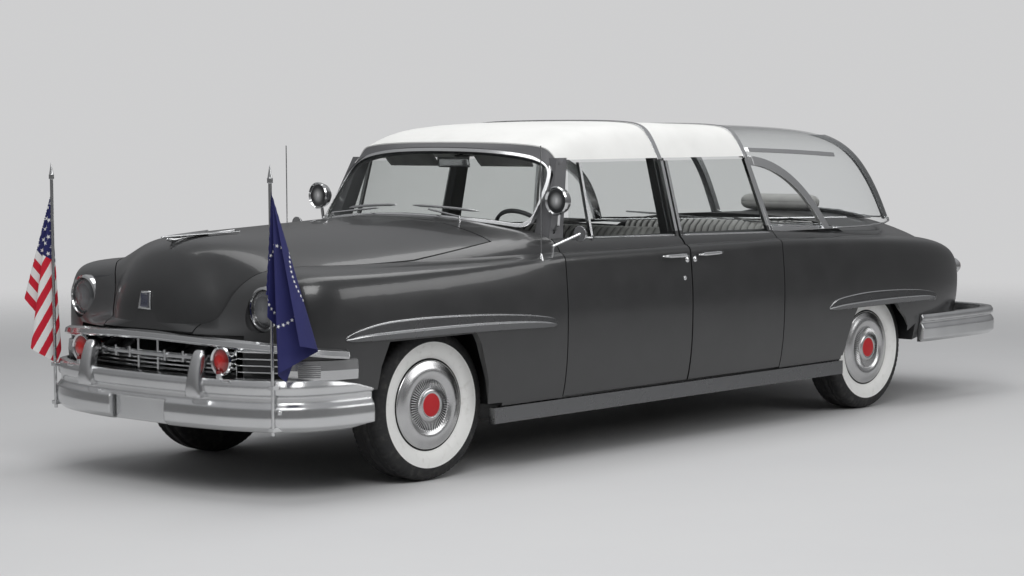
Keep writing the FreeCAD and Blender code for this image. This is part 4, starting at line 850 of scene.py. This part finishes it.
def cord(name, path, across, tall, taper=3):
    """A closed rod along points; across and tall are its half sizes."""
    mesh = bmesh.new()
    sides = 12
    rings = []
    for n, point in enumerate(path):
        before, after = path[max(n - 1, 0)], path[min(n + 1, len(path) - 1)]
        forward = (after - before).normalized()
        side = forward.cross(Vector((0, 0, 1))).normalized()
        rise = side.cross(forward)
        slim = min(1.0, 0.3 + 0.7 * min(n, len(path) - 1 - n) / taper) if taper else 1.0
        ring = []
        for k in range(sides):
            turn = 2 * math.pi * k / sides
            ring.append(mesh.verts.new(point + side * (across * slim * math.cos(turn))
                                       + rise * (tall * slim * math.sin(turn))))
        rings.append(ring)
    loft(mesh, rings)
    return as_object(name, mesh)


DOME_MIDDLE, BEAD_STEPS, BEAD_FROM, BEAD_SWEEP = Vector((0, 1.3, 0)), 60, -34, 124
LOWEST_FOOT, FOOT_STEP = 1.088, 0.004
half_path = []
for n in range(BEAD_STEPS):
    turn = math.radians(BEAD_FROM + BEAD_SWEEP * n / (BEAD_STEPS - 1))
    way = Vector((math.cos(turn), math.sin(turn), 0))
    for step in range(40):
        start = DOME_MIDDLE + way * 3 + Vector((0, 0, LOWEST_FOOT + FOOT_STEP * step))
        glass, body = skin("dome_glass", start, -way), skin("body_tub", start, -way)
        if glass and (not body or (glass - start).length < (body - start).length):
            half_path.append(glass + way * 0.002)
            break
dome_line = half_path + [Vector((-p.x, p.y, p.z)) for p in reversed(half_path[:-1])]
dress(cord("dome_bead", dome_line, 0.005, 0.005), "car", "bright_metal", chrome)
print("dome bead", len(dome_line), "points from", [round(v, 3) for v in half_path[0]])

# %% [markdown]
# Three more bright things are made with the same two helpers. The wiper blades lie on the bowed
# windscreen, the bars of the grille run on round the nose of each wing, and every door has a
# pull that stands off it over a round cup. A stretched box would leave a gap wherever the body
# curves, so the blades and the bars are drawn through points found on the skin.

# %% Wiper blades, grille ends and door pulls
dark_backing = black_metal("grille_backing", (0.012, 0.012, 0.013), 0.5)
AHEAD, MOUTH_END = Vector((0, -1, 0)), 0.612
GRILLE_BARS = ((0.582, 0.006), (0.612, 0.006), (0.642, 0.006), (0.676, 0.010))
PULLS = (("front", -0.456, -0.236, -0.229), ("rear", 0.064, -0.156, -0.163))
PULL_OUT, PULL_Z, CUP_Z = 0.9885, 1.0025, 0.976
CUP_LINE = ((-0.002, 0.0165), (0.003, 0.0165), (0.006, 0.013), (0.005, 0.009), (0.008, 0.006),
            (0.009, 0.0005), (-0.002, 0.0005), (-0.002, 0.0165))


def front_line(way, z, first, last, count=16):
    """Points on the nose of a wing at one height; inside the mouth's end they run on ahead."""
    points = []
    for n in range(count):
        x = way * (first + (last - first) * n / (count - 1))
        spot = skin("front_wings", (way * max(abs(x), MOUTH_END), front_y - 1.5, z), (0, 1, 0))
        points.append(Vector((x, spot.y - 0.45 * max(0.0, MOUTH_END - abs(x)), z)))
    return points


for side, way in SIDES:
    blade = []
    for n in range(25):
        x = way * (0.06 + 0.42 * n / 24)
        spot = skin("windscreen_glass", (x, front_y - 0.4, 1.276 - 0.11 * x * x), (0, 1, 0))
        blade.append(spot + Vector((0, -0.007, 0.004)))
    dress(cord("wiper_blade_" + side, blade, 0.005, 0.007), "car", "bright_metal", chrome)

    line = front_line(way, 0.632, 0.606, 0.80)
    backing = strip("grille_back_" + side, line, AHEAD, 0.068, 0.003)
    dress(backing, "car", "frame_black", dark_backing)
    for k, (z, tall) in enumerate(GRILLE_BARS):
        line = front_line(way, z, 0.572, 0.803)
        bar = strip(f"grille_bar_{side}_{k}", line, AHEAD, tall, 0.016)
        dress(bar, "car", "bright_metal", chrome)

    for end, first, last, cup_y in PULLS:
        door = f"{end}_door_{side}"
        pull = []
        for n in range(17):
            t = n / 16
            out = PULL_OUT - 0.012 * (1 - min(1, t * 8)) - 0.006 * max(0, t - 0.85) / 0.15
            pull.append(Vector((way * out, first + (last - first) * t, PULL_Z - 0.004 * t)))
        dress(cord(f"pull_{end}_{side}", pull, 0.0085, 0.0095, 4), door, "bright_metal", chrome)
        flat = skin(door, (way * OUTSIDE, cup_y, CUP_Z), (-way, 0, 0))
        cup = lathe(f"cup_{end}_{side}", facing(way, CUP_LINE), flat, 28)
        dress(cup, door, "bright_metal", chrome)
print("pulls and blades, door skin at", round(flat.x, 3))

# %% [markdown]
# Each front door has a round lock button below its pull, and a domed bolt holds each end of the
# front bumper. They are small, but the light catches them, so they are turned on the lathe and
# set where a line cast inwards meets the door or the bumper.

# %% Lock buttons and bumper bolts
LOCK_Y, LOCK_Z, BOLT_X, BOLT_Z = -0.2585, 0.88, 0.826, 0.414
LOCK_LINE = ((-0.002, 0.0125), (0.003, 0.0125), (0.005, 0.0105), (0.005, 0.0065),
             (0.008, 0.0055), (0.009, 0.0005), (-0.002, 0.0005), (-0.002, 0.0125))
BOLT_LINE = ((0.012, 0.014), (-0.003, 0.014), (-0.007, 0.012), (-0.0105, 0.008),
             (-0.0120, 0.0005), (0.012, 0.0005), (0.012, 0.014))
for side, way in SIDES:
    spot = skin("front_door_" + side, (way * OUTSIDE, LOCK_Y, LOCK_Z), (-way, 0, 0))
    button = lathe("lock_" + side, facing(way, LOCK_LINE), spot, 28)
    dress(button, "front_door_" + side, "bright_metal", chrome)
    spot = skin("front_bumper", (way * BOLT_X, -3.4, BOLT_Z), (0, 1, 0))
    bolt = lathe("bumper_bolt_" + side, BOLT_LINE, spot, 24, None, "Y")
    dress(bolt, "car", "bright_metal", chrome)
print("lock buttons and bolts, bumper face at", round(spot.y, 3))

# %% [markdown]
# ## Brows and sills
# The brow over each wheel is a smooth leaf: blunt in front, highest over the axle and drawn down
# behind, with a rounded upper lip, a sharp crease low on its face and a tucked underside. Cutting
# and bending the solid would keep its flat facets, so the leaf is lofted from three smooth lines,
# the upper edge, the crease and the lower edge, and each slice is laid on the skin by casting
# inwards. The ribbed sills are copied from their solid.

# %% The lines of a leaf
BROW_LINES = {
    "front": dict(
        skin="front_wings", proud=0.021,
        high=[(-2.687, 0.728), (-2.676, 0.742), (-2.645, 0.757), (-2.595, 0.771), (-2.50, 0.7885),
              (-2.40, 0.797), (-2.20, 0.8005), (-1.99, 0.7965), (-1.77, 0.7875), (-1.545, 0.7716),
              (-1.37, 0.751), (-1.305, 0.735), (-1.287, 0.721), (-1.281, 0.706)],
        crease=[(-2.687, 0.724), (-2.595, 0.7325), (-2.40, 0.7363), (-2.20, 0.7380),
                (-1.99, 0.7388), (-1.77, 0.7362), (-1.45, 0.7235), (-1.281, 0.704)],
        low=[(-2.687, 0.720), (-2.66, 0.7120), (-2.42, 0.7085), (-2.17, 0.7072), (-1.90, 0.7040),
             (-1.62, 0.6986), (-1.33, 0.6905), (-1.295, 0.693), (-1.281, 0.702)]),
    "rear": dict(
        skin="body_tub", proud=0.020,
        high=[(1.068, 0.637), (1.077, 0.652), (1.1009, 0.6712), (1.1517, 0.6883), (1.2653, 0.7013),
              (1.4452, 0.7113), (1.6298, 0.7115), (1.8215, 0.7058), (2.0246, 0.6934),
              (2.1563, 0.6764), (2.235, 0.6585), (2.258, 0.643), (2.266, 0.627)],
        crease=[(1.068, 0.634), (1.18, 0.6440), (1.3565, 0.6493), (1.5393, 0.6520),
                (1.7272, 0.6530), (1.9239, 0.6511), (2.1366, 0.6440), (2.266, 0.625)],
        low=[(1.068, 0.630), (1.085, 0.6235), (1.1207, 0.6215), (1.45, 0.6230), (1.7875, 0.6228),
             (2.0842, 0.6181), (2.235, 0.6145), (2.257, 0.6165), (2.266, 0.623)]),
}


def smooth_line(stops, at):
    """The height on a curve that passes through all the stops without a kink."""
    last = len(stops) - 1
    n = max(k for k in range(last) if stops[k][0] <= at or k == 0)
    slopes = []
    for k in (n, n + 1):
        before, after = stops[max(k - 1, 0)], stops[min(k + 1, last)]
        slopes.append((after[1] - before[1]) / (after[0] - before[0]))
    (y0, z0), (y1, z1) = stops[n], stops[n + 1]
    span, t = y1 - y0, min(1.0, max(0.0, (at - y0) / (y1 - y0)))
    return ((2 * t**3 - 3 * t**2 + 1) * z0 + (t**3 - 2 * t**2 + t) * span * slopes[0]
            + (3 * t**2 - 2 * t**3) * z1 + (t**3 - t**2) * span * slopes[1])


# Each pair is a share of the way down and how proud the face stands there. The upper part runs
# from the upper edge to the crease, the lower part from the crease to the lower edge.
LIP = [(0.16 * (1 - math.cos(math.radians(a))), 0.62 * math.sin(math.radians(a)))
       for a in range(0, 91, 15)]
UPPER_FACE = LIP + [(0.16 + 0.64 * k / 6, 0.62 + 0.06 * k / 6) for k in range(1, 7)]
UPPER_FACE += [(0.84, 0.70), (0.88, 0.75), (0.92, 0.83), (0.96, 0.92), (0.985, 0.975)]
LOWER_FACE = [(0.0, 1.0), (0.04, 0.99), (0.12, 0.93), (0.35, 0.78), (0.6, 0.62), (0.82, 0.48),
              (0.95, 0.36), (1.0, 0.22), (1.0, 0.0)]
INTO_SKIN, BLUNT_FRONT, BLUNT_REAR, SLICES = 0.0016, 0.05, 0.07, 84
LEAF_EDGES, ARCH_DEPTH = ("high", "crease", "low"), 0.85


def evened(values, rounds=6):
    """The same numbers with the small corners between the skin's facets taken out."""
    for _ in range(rounds):
        inner = [(a + 2 * b + c) / 4 for a, b, c in zip(values, values[1:], values[2:])]
        values = [values[0]] + inner + [values[-1]]
    return values


def leaf(mesh, lines, way):
    """Adds one leaf on one side; where a line finds only the arch, the edge above is used."""
    first, last = lines["high"][0][0], lines["high"][-1][0]
    stations = [first + (last - first) * (1 - math.cos(math.pi * n / SLICES)) / 2
                for n in range(SLICES + 1)]
    outward = []
    for edge in LEAF_EDGES:
        row = []
        for n, y in enumerate(stations):
            z = smooth_line(lines[edge], y)
            spot = skin(lines["skin"], (way * OUTSIDE, y, z), (-way, 0, 0))
            on_skin = spot and abs(spot.x) > ARCH_DEPTH
            row.append(abs(spot.x) if on_skin else outward[-1][n])
        outward.append(evened(row))
    rings = []
    for n, y in enumerate(stations):
        heights = [smooth_line(lines[edge], y) for edge in LEAF_EDGES]
        out = [row[n] for row in outward]
        front = min(1.0, (y - first) / BLUNT_FRONT)
        rear = min(1.0, (last - y) / BLUNT_REAR)
        share = min(math.sqrt(1 - (1 - front) ** 2), math.sqrt(1 - (1 - rear) ** 2))
        proud = lines["proud"] * max(0.06, share)
        ring = []
        for start, face in ((0, UPPER_FACE), (1, LOWER_FACE)):
            for down, stand in face:
                z = heights[start] + (heights[start + 1] - heights[start]) * down
                x = out[start] + (out[start + 1] - out[start]) * down
                x += proud * stand - (INTO_SKIN if stand < 0.01 else 0.0)
                ring.append(mesh.verts.new((way * x, y, z)))
        rings.append(ring)
    loft(mesh, rings)


print("leaves", list(BROW_LINES), "with", SLICES, "slices each")

# %% [markdown]
# The leaves take the place of the solid brows. Every island of the copied mesh that lies above
# the sills is taken out of it, and the four leaves join what is left.

# %% Leaves and sills as one piece


def islands(mesh):
    """The groups of points that hang together, one group at a time."""
    left = set(mesh.verts)
    while left:
        group, edge = set(), [left.pop()]
        while edge:
            vert = edge.pop()
            group.add(vert)
            for link in vert.link_edges:
                other = link.other_vert(vert)
                if other in left:
                    left.discard(other)
                    edge.append(other)
        yield group


mouldings = bmesh.new()
mouldings.from_mesh(nodes["bright_mouldings"].data)
mouldings.transform(nodes["bright_mouldings"].matrix_world)
bmesh.ops.remove_doubles(mouldings, verts=mouldings.verts, dist=2e-5)
SILL_TOP = 0.4
for group in list(islands(mouldings)):
    if min(v.co.z for v in group) > SILL_TOP:
        bmesh.ops.delete(mouldings, geom=list(group), context="VERTS")
for lines in BROW_LINES.values():
    for way in (1, -1):
        leaf(mouldings, lines, way)
bmesh.ops.recalc_face_normals(mouldings, faces=mouldings.faces)
trim = as_object("brows_and_sills", mouldings)
trim.data.set_sharp_from_angle(angle=math.radians(38))
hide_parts("bright_mouldings")
# The plate on the leaves and sills has painted shade on every face that does not point upwards.
dress(trim, "car", "bright_metal", satin_painted_shade)
print("leaves and sills, faces", len(trim.data.polygons))

# %% [markdown]
# ## Ornament
# A dart sits on the nose of the bonnet: a flat swept wing with a thin keel under it, whose tip
# stands free of the metal. The wing is one grid folded round its edge.

# %% The dart on the bonnet
TIP_Y, WING_SPAN, DART_TIP_Z, DART_LENGTH = -2.976, 0.12, 1.169, 0.376
SPAN_STEPS, CHORD_STEPS, KEEL_STEPS, KEEL_SIDES = 24, 10, 30, 16


def dart_height(y):
    """The wing of the dart rises slightly towards the rear."""
    return DART_TIP_Z + 0.020 * (y - TIP_Y) / DART_LENGTH


wing = bmesh.new()
grid = {}
across, along = range(-SPAN_STEPS, SPAN_STEPS + 1), range(CHORD_STEPS + 1)
for i in across:
    u = i / SPAN_STEPS
    lead = TIP_Y + DART_LENGTH * abs(u) ** 1.05
    trail = TIP_Y + 0.262 + 0.125 * abs(u)
    for j in along:
        t = j / CHORD_STEPS
        y = lead + (trail - lead) * t
        thick = 0.0075 * (1 - 0.7 * abs(u)) * math.sin(math.pi * (0.04 + 0.92 * t)) ** 0.6
        z = dart_height(y) + 0.004 * (1 - abs(u))
        for sheet in (0, 1):
            grid[sheet, i, j] = wing.verts.new((u * WING_SPAN, y, z + (thick if sheet else -thick)))
close_sheets(wing, grid, across, along)
wing = as_object("dart_wing", wing)

keel = bmesh.new()
rings = []
for n in range(KEEL_STEPS + 1):
    t = n / KEEL_STEPS
    y = TIP_Y + 0.03 + 0.43 * t
    bed = skin("bonnet", (0, y, 1.6), (0, 0, -1)).z
    top = max(dart_height(y) - 0.002 if t < 0.6 else 0.0, bed + 0.004 + 0.004 * (1 - t))
    foot = max(bed - 0.004, top - 0.008 - 0.16 * t)
    half = 0.016 * max(0.12, math.sin(math.pi * min(1.0, 0.06 + 0.94 * t)) ** 0.6)
    middle, tall = (top + foot) / 2, (top - foot) / 2 + 0.002
    turns = [2 * math.pi * k / KEEL_SIDES for k in range(KEEL_SIDES)]
    rings.append([keel.verts.new((half * math.cos(turn), y, middle + tall * math.sin(turn)))
                  for turn in turns])
loft(keel, rings)
keel = as_object("dart_keel", keel)
for piece in (wing, keel):
    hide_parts("bonnet_ornament")
    dress(piece, "bonnet", "bright_metal", chrome)
print("ornament", 2, "pieces")

# %% [markdown]
# The prow has a small flared plate where a badge would be. It keeps its frame and a plain enamel
# field, and nothing is written or drawn on it. Its rings of points are cast onto the bonnet, so
# that the plate lies on the curve.

# %% A badge place with nothing on it
BADGE_Z, BADGE_HALF, BADGE_TALL = 0.885, 0.046, 0.042


def badge_outline(scale):
    """A flared plate: wide foot, narrower top."""
    edge = []
    for n in range(33):
        u = n / 32
        half_width = scale * BADGE_HALF * (0.74 + 0.26 * (1 - u))
        edge.append((half_width, scale * BADGE_TALL * (2 * u - 1)))
    return edge + [(-x, z) for x, z in reversed(edge)]


badge = bmesh.new()
rings = []
for scale, stand in ((1.0, -0.002), (1.0, 0.007), (0.94, 0.010), (0.84, 0.010), (0.8, 0.006),
                     (0.4, 0.0075), (0.02, 0.008)):
    ring = []
    for x, z in badge_outline(scale):
        spot = skin("bonnet", (x, front_y - 1.4, BADGE_Z + z), (0, 1, 0))
        ring.append(badge.verts.new(spot + Vector((0, -stand, 0))))
    rings.append(ring)
loft(badge, rings)
badge = as_object("badge_place", badge)


def badge_finish():
    """Bright frame round a plain dark field."""
    f = Finish("badge_enamel")
    wide = f.x.math("ABSOLUTE") / (BADGE_HALF * 0.68)
    tall = (f.z - BADGE_Z).math("ABSOLUTE") / (BADGE_TALL * 0.78)
    field = wide.math("MAXIMUM", tall) < 1.0
    cloud = f.noise(40.0, 3.0)
    plain = f.mix(cloud.fade(0.3, 0.8), (0.03, 0.035, 0.06), (0.05, 0.05, 0.07))
    return f.surface(Base_Color=f.mix(field, CHROME, plain), Metallic=1 - field,
                     Roughness=0.16 + cloud * 0.08, Coat_Weight=field)


dress(badge, "bonnet", "bright_metal", badge_finish())
print("badge place at", round(front_y, 3), BADGE_Z)

# %% [markdown]
# A driving mirror hangs from the header and two padded visors hang beside it. Both show through
# the windscreen as dark shapes along its upper edge. The roll on the rear shelf is a stuffed
# bolster: a tube of the seat cloth drawn in at both ends, with shallow seams along it.

# %% Mirror, visors and bolster


def soft_board(name, centre, half, tilt, round_by=0.35):
    """A padded board: a crowned box with rounded edges, tilted about its length."""
    mesh = bmesh.new()
    bmesh.ops.create_cube(mesh, size=2.0)
    bmesh.ops.subdivide_edges(mesh, edges=mesh.edges, cuts=9, use_grid_fill=True)
    turn = Matrix.Rotation(tilt, 3, "X")
    for vert in mesh.verts:
        u, v, w = vert.co
        crown = (1 - u ** 8) ** round_by * (1 - w ** 6) ** round_by
        shaped = Vector((u * half[0], v * half[1] * max(crown, 0.25), w * half[2]))
        shaped.x *= 1 - 0.03 * w ** 6
        vert.co = Vector(centre) + turn @ shaped
    return as_object(name, mesh)


VISOR_Y, VISOR_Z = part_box("windscreen_surround")[1].y - 0.045, 1.522
plain_cloth = broadcloth("plain_broadcloth")
for side, way in SIDES:
    visor = soft_board("visor_" + side, (way * 0.34, VISOR_Y, VISOR_Z), (0.19, 0.011, 0.062), 0.75)
    dress(visor, "car", "seat_grey", plain_cloth)
driving_mirror = soft_board("driving_mirror", (0, VISOR_Y - 0.01, 1.497),
                            (0.115, 0.012, 0.028), 0.2, 0.2)
dress(driving_mirror, "car", "bright_metal", chrome)

roll_low, roll_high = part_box("shelf_roll")
roll_centre = (roll_low + roll_high) / 2
half_roll, roll_radius = (roll_high.x - roll_low.x) / 2, (roll_high.z - roll_low.z) / 2
ROLL_STEPS = 60
roll_line = []
for n in range(ROLL_STEPS + 1):
    t = math.pi * (n / ROLL_STEPS - 0.5)
    reach = half_roll * math.sin(t)
    body = max(0.0, 1 - abs(reach / half_roll) ** 9) ** 0.42
    roll_line.append((reach, max(0.001, roll_radius * body)))


def seams(angle, i):
    """Six seams along the roll and the gathers at its ends."""
    share = abs(roll_line[i][0]) / half_roll
    seam = 0.0028 * abs(math.sin(3 * angle)) ** 0.4 - 0.0028
    gather = 0.0022 * math.sin(26 * angle) * max(0.0, share - 0.86) / 0.14
    return 0.0, (seam + gather - 0.001) if 0 < i < ROLL_STEPS else 0.0


roll = lathe("shelf_bolster", roll_line, roll_centre, 180, seams)
dress(roll, "car", "seat_grey", plain_cloth)
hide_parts("shelf_roll")
print("inside pieces", 4)

# %% [markdown]
# ## Flags
# Each flag hangs limp from its staff, so it falls from its top corner in folds that fan out
# downwards. Cloth bends but hardly stretches, and the surface that does this is a cone: every
# point keeps its distance from the top corner, and only the direction changes. The directions
# follow a wavy line on a sphere whose length is the right angle of the flag's corner, so the
# hung cloth has exactly the area of the cut one.

# %% Directions that fan out from the top corner


def between_stops(stops, t):
    """Smooth value between (share, value) stops."""
    for (a, low), (b, high) in zip(stops, stops[1:]):
        if t <= b:
            k = (t - a) / (b - a)
            return low + (high - low) * k * k * (3 - 2 * k)
    return stops[-1][1]


def fan(lean, waves, phase, samples=900):
    """Unit directions spaced evenly by angle; lean says how far each one swings out."""
    def direction(t, fold):
        spread = math.radians(between_stops(lean, t))
        start = min(t * 6, 1)
        swing = fold * start * math.sin(2 * math.pi * waves * t + phase * start)
        return Vector((math.tan(spread), swing, -1)).normalized()

    def line(fold):
        return [direction(i / samples, fold) for i in range(samples + 1)]

    low, high = 0.0, 1.5
    for _ in range(30):
        fold = (low + high) / 2
        points = line(fold)
        length = sum(a.angle(b) for a, b in zip(points, points[1:]))
        low, high = (fold, high) if length < math.pi / 2 else (low, fold)
    angles, total = [0.0], 0.0
    for a, b in zip(points, points[1:]):
        total += a.angle(b)
        angles.append(total)
    return points, [a * (math.pi / 2) / total for a in angles]


def hung_flag(name, top, way, hoist, fly, lean, waves, phase):
    """A flag on the staff whose cloth starts at top and leans away by way."""
    points, angles = fan(lean, waves, phase)
    mesh = bmesh.new()
    flat = mesh.loops.layers.uv.new("flat")
    columns, rows = 90, 56
    grid, place = {}, {}
    for i in range(columns + 1):
        for j in range(rows + 1):
            along, down = fly * i / columns, hoist * j / rows
            reach = math.hypot(along, down)
            angle = math.atan2(along, down) if reach else 0.0
            k = min(bisect.bisect_left(angles, angle), len(points) - 1)
            d = points[k]
            spot = top + Vector((way * d.x, d.y, d.z)) * reach
            grid[i, j] = mesh.verts.new(spot)
            place[grid[i, j]] = (i / columns, j / rows)
    for i in range(columns):
        for j in range(rows):
            face = mesh.faces.new([grid[i + a, j + b] for a, b in SQUARE])
            for loop in face.loops:
                loop[flat].uv = place[loop.vert]
    return as_object(name, mesh)

# %% [markdown]
# One flag is navy with a ring of white stars, the other has thirteen stripes and a blue corner
# of stars. A star is a disc whose edge swings in and out five times a turn. Both patterns are
# written on the flat cloth, before it is hung.

# %% Patterns on the cloth


def star_mask(f, dx, dy, radius):
    """One inside a five-pointed star round the origin of dx and dy."""
    reach = (dx * dx + dy * dy) ** 0.5
    turn = f.node("Math", {"operation": "ARCTAN2"}, {0: dx, 1: dy})
    fifth = 2 * math.pi / 5
    swing = (turn + 4 * fifth).math("FLOORED_MODULO", fifth) - fifth / 2
    spike = (swing.math("ABSOLUTE") / (fifth / 2)) ** 2.2
    return reach < (spike * 0.62 + 0.38) * radius


def flag_cloth(name, pattern):
    f = Finish(name)
    u, v, _ = f.split(f.node("UVMap", {"uv_map": "flat"}))
    thread = (u * 2200.0).math("SINE") * (v * 1500.0).math("SINE")
    cloud = f.noise(16.0, 3.0)
    return f.surface(Base_Color=pattern(f, u, v), Roughness=0.7 + cloud * 0.15,
                     Normal=f.bump(thread + cloud, 0.15, 0.0005))


NAVY, RED, WHITE = (0.012, 0.014, 0.105), (0.58, 0.008, 0.028), (0.8, 0.8, 0.79)
HOIST, FLY = 0.45, 0.72


def ring_of_stars(f, u, v):
    """Fifty stars in a circle on navy; the middle is left plain."""
    count, ring = 50, 0.185
    dx, dy = (u - 0.5) * FLY, (v - 0.5) * HOIST
    reach = (dx * dx + dy * dy) ** 0.5
    turn = f.node("Math", {"operation": "ARCTAN2"}, {0: dx, 1: dy})
    step = 2 * math.pi / count
    local = (turn + 2 * math.pi).math("FLOORED_MODULO", step) - step / 2
    star = star_mask(f, local * ring, reach - ring, 0.0095)
    tone = f.mix(f.noise(3.0, 3.0).fade(0.3, 0.8), NAVY, tuple(0.8 * c for c in NAVY))
    return f.mix(star, tone, WHITE)


def stars_and_stripes(f, u, v):
    """Thirteen stripes, and a blue corner with eight by six stars."""
    stripe = (v * 13.0).math("FLOORED_MODULO", 2.0) < 1.0
    tone = f.mix(stripe, WHITE, RED)
    wide, tall, columns, rows = 0.4, 7 / 13, 8, 6
    corner = (u < wide) * (v < tall)
    cell_u = (u * (columns / wide)).math("FRACT") - 0.5
    cell_v = (v * (rows / tall)).math("FRACT") - 0.5
    star = star_mask(f, cell_u * (wide * FLY / columns), cell_v * (tall * HOIST / rows), 0.0125)
    return f.mix(corner, tone, f.mix(star, NAVY, WHITE))


print("flags are cut", HOIST, "by", FLY)

# %% [markdown]
# Each flag is held along its short edge and hangs from the top of it. The leans say how far the
# folds swing out, in degrees, between the staff and the free edge.

# %% Two hung flags
STAFF_X, STAFF_Y = 0.81, front_y - 0.949
LEAN_LEFT = [(0.0, 0.0), (0.2, 1.5), (0.5, 3.0), (0.66, 8.0), (1.0, 21.0)]
LEAN_RIGHT = [(0.0, 0.0), (0.18, 9.0), (0.40, 17.5), (0.62, 2.0), (0.82, 9.0), (1.0, 5.0)]
for side, way, top_z, pattern, lean, waves, phase in (
        ("left", 1, 1.402, ring_of_stars, LEAN_LEFT, 3.6, 0.9),
        ("right", -1, 1.375, stars_and_stripes, LEAN_RIGHT, 3.2, 2.6)):
    top = Vector((way * (STAFF_X + 0.008), STAFF_Y, top_z))
    flag = hung_flag("cloth_" + side, top, way, HOIST, FLY, lean, waves, phase)
    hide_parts("flag_" + side)
    slot = "flag_blue" if way > 0 else "flag_stripes"
    dress(flag, "car", slot, flag_cloth("flag_" + side + "_cloth", pattern))
    area = sum(p.area for p in flag.data.polygons)
    print(flag.name, "area", round(area, 3), "of", HOIST * FLY)

# %% [markdown]
# ## Stage, lights and camera
# The car stands on a plain pale floor under broad soft light. The camera was fitted to the
# photograph by solving for the two wheels, the lamps and the roof corners, and is given here
# as a position, a direction and a focal length.

# %% Floor and sky


def floor_finish():
    f = Finish("pale_floor")
    cloud = f.noise(0.8, 3.0)
    tone = f.mix(cloud.fade(0.2, 0.9), (0.62, 0.62, 0.62), (0.6, 0.6, 0.605))
    away = (f.x * f.x + f.y * f.y) ** 0.5
    return f.surface(Base_Color=tone, Roughness=0.7 + cloud * 0.1, Alpha=1 - away.fade(5.0, 13.0),
                     Normal=f.bump(f.noise(120.0, 2.0), 0.02, 0.0005))


floor_mesh = bmesh.new()
bmesh.ops.create_grid(floor_mesh, x_segments=1, y_segments=1, size=120.0)
floor = as_object("studio_floor", floor_mesh, smooth=False)
wear(floor, floor_finish())
floor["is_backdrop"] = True

world = bpy.data.worlds.new("studio")
world.use_nodes = True
bpy.context.scene.world = world
sky = world.node_tree
background = sky.nodes["Background"]
background.inputs["Strength"].default_value = 0.5
where = sky.nodes.new("ShaderNodeTexCoord")
height = sky.nodes.new("ShaderNodeSeparateXYZ")
ramp = sky.nodes.new("ShaderNodeValToRGB")
sky.links.new(where.outputs["Generated"], height.inputs[0])
sky.links.new(height.outputs[2], ramp.inputs[0])
sky.links.new(ramp.outputs[0], background.inputs["Color"])
ramp.color_ramp.elements[0].position, ramp.color_ramp.elements[1].position = 0.05, 0.6
ramp.color_ramp.elements[0].color = (0.3, 0.3, 0.305, 1.0)
ramp.color_ramp.elements[1].color = (0.85, 0.86, 0.88, 1.0)
shown = sky.nodes.new("ShaderNodeBackground")
shown.inputs["Color"].default_value = (0.62, 0.62, 0.625, 1.0)
shown.inputs["Strength"].default_value = 1.0
rays = sky.nodes.new("ShaderNodeLightPath")
seen = sky.nodes.new("ShaderNodeMath")
seen.operation = "MAXIMUM"
choice = sky.nodes.new("ShaderNodeMixShader")
sky.links.new(rays.outputs["Is Camera Ray"], seen.inputs[0])
sky.links.new(rays.outputs["Is Transmission Ray"], seen.inputs[1])
sky.links.new(seen.outputs[0], choice.inputs[0])
sky.links.new(background.outputs[0], choice.inputs[1])
sky.links.new(shown.outputs[0], choice.inputs[2])
sky.links.new(choice.outputs[0], sky.nodes["World Output"].inputs[0])


def softbox(name, place, target, size, power):
    """A broad soft light, turned to face its target."""
    data = bpy.data.lights.new(name, "AREA")
    data.shape = "RECTANGLE"
    data.size, data.size_y = size
    data.energy = power
    lamp_object = bpy.data.objects.new(name, data)
    bpy.context.scene.collection.objects.link(lamp_object)
    lamp_object.location = place
    aim = Vector(target) - Vector(place)
    lamp_object.rotation_mode = "QUATERNION"
    lamp_object.rotation_quaternion = aim.to_track_quat("-Z", "Y")


softbox("key", (5.0, -6.5, 6.5), (0, -0.5, 0.6), (5.0, 4.0), 330)
softbox("side", (8.0, 3.5, 4.0), (0, 0.5, 0.8), (6.0, 3.0), 150)
softbox("top", (0.0, 0.0, 7.0), (0, 0, 0), (4.0, 8.0), 210)
print("lights", 3, "world", round(background.inputs["Strength"].default_value, 2))

# %% [markdown]
# A camera's rotation is three directions: its right, its up and the way back from what it
# looks at. They follow from the azimuth, the elevation and a very small roll.

# %% The fitted camera
CAMERA_PLACE = Vector((8.3801, front_y - 7.5676, 1.6696))
AZIMUTH, ELEVATION, ROLL = (math.radians(v) for v in (42.739, 4.0237, -0.3242))
FOCAL_PIXELS, PICTURE_WIDTH, SENSOR = 2258.4, 1024, 36.0

back = Vector((math.sin(AZIMUTH) * math.cos(ELEVATION),
               -math.cos(AZIMUTH) * math.cos(ELEVATION), math.sin(ELEVATION)))
level_right = Vector((0, 0, 1)).cross(back).normalized()
level_up = back.cross(level_right)
right = level_right * math.cos(ROLL) + level_up * math.sin(ROLL)
up = level_up * math.cos(ROLL) - level_right * math.sin(ROLL)
camera_data = bpy.data.cameras.new("camera")
camera_data.sensor_width = SENSOR
camera_data.lens = FOCAL_PIXELS / PICTURE_WIDTH * SENSOR
camera = bpy.data.objects.new("camera", camera_data)
bpy.context.scene.collection.objects.link(camera)
turn = Matrix((right, up, back)).transposed()
camera.matrix_world = Matrix.Translation(CAMERA_PLACE) @ turn.to_4x4()
bpy.context.scene.camera = camera
bpy.context.scene.view_settings.view_transform = "Standard"
print("lens", round(camera_data.lens, 2), "mm")

# %% [markdown]
# ## The size of the dressed car
# The box round every shown piece, the floor left out, is printed.

low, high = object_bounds()
print("visual box", [round(v, 3) for v in (*low, *high)])
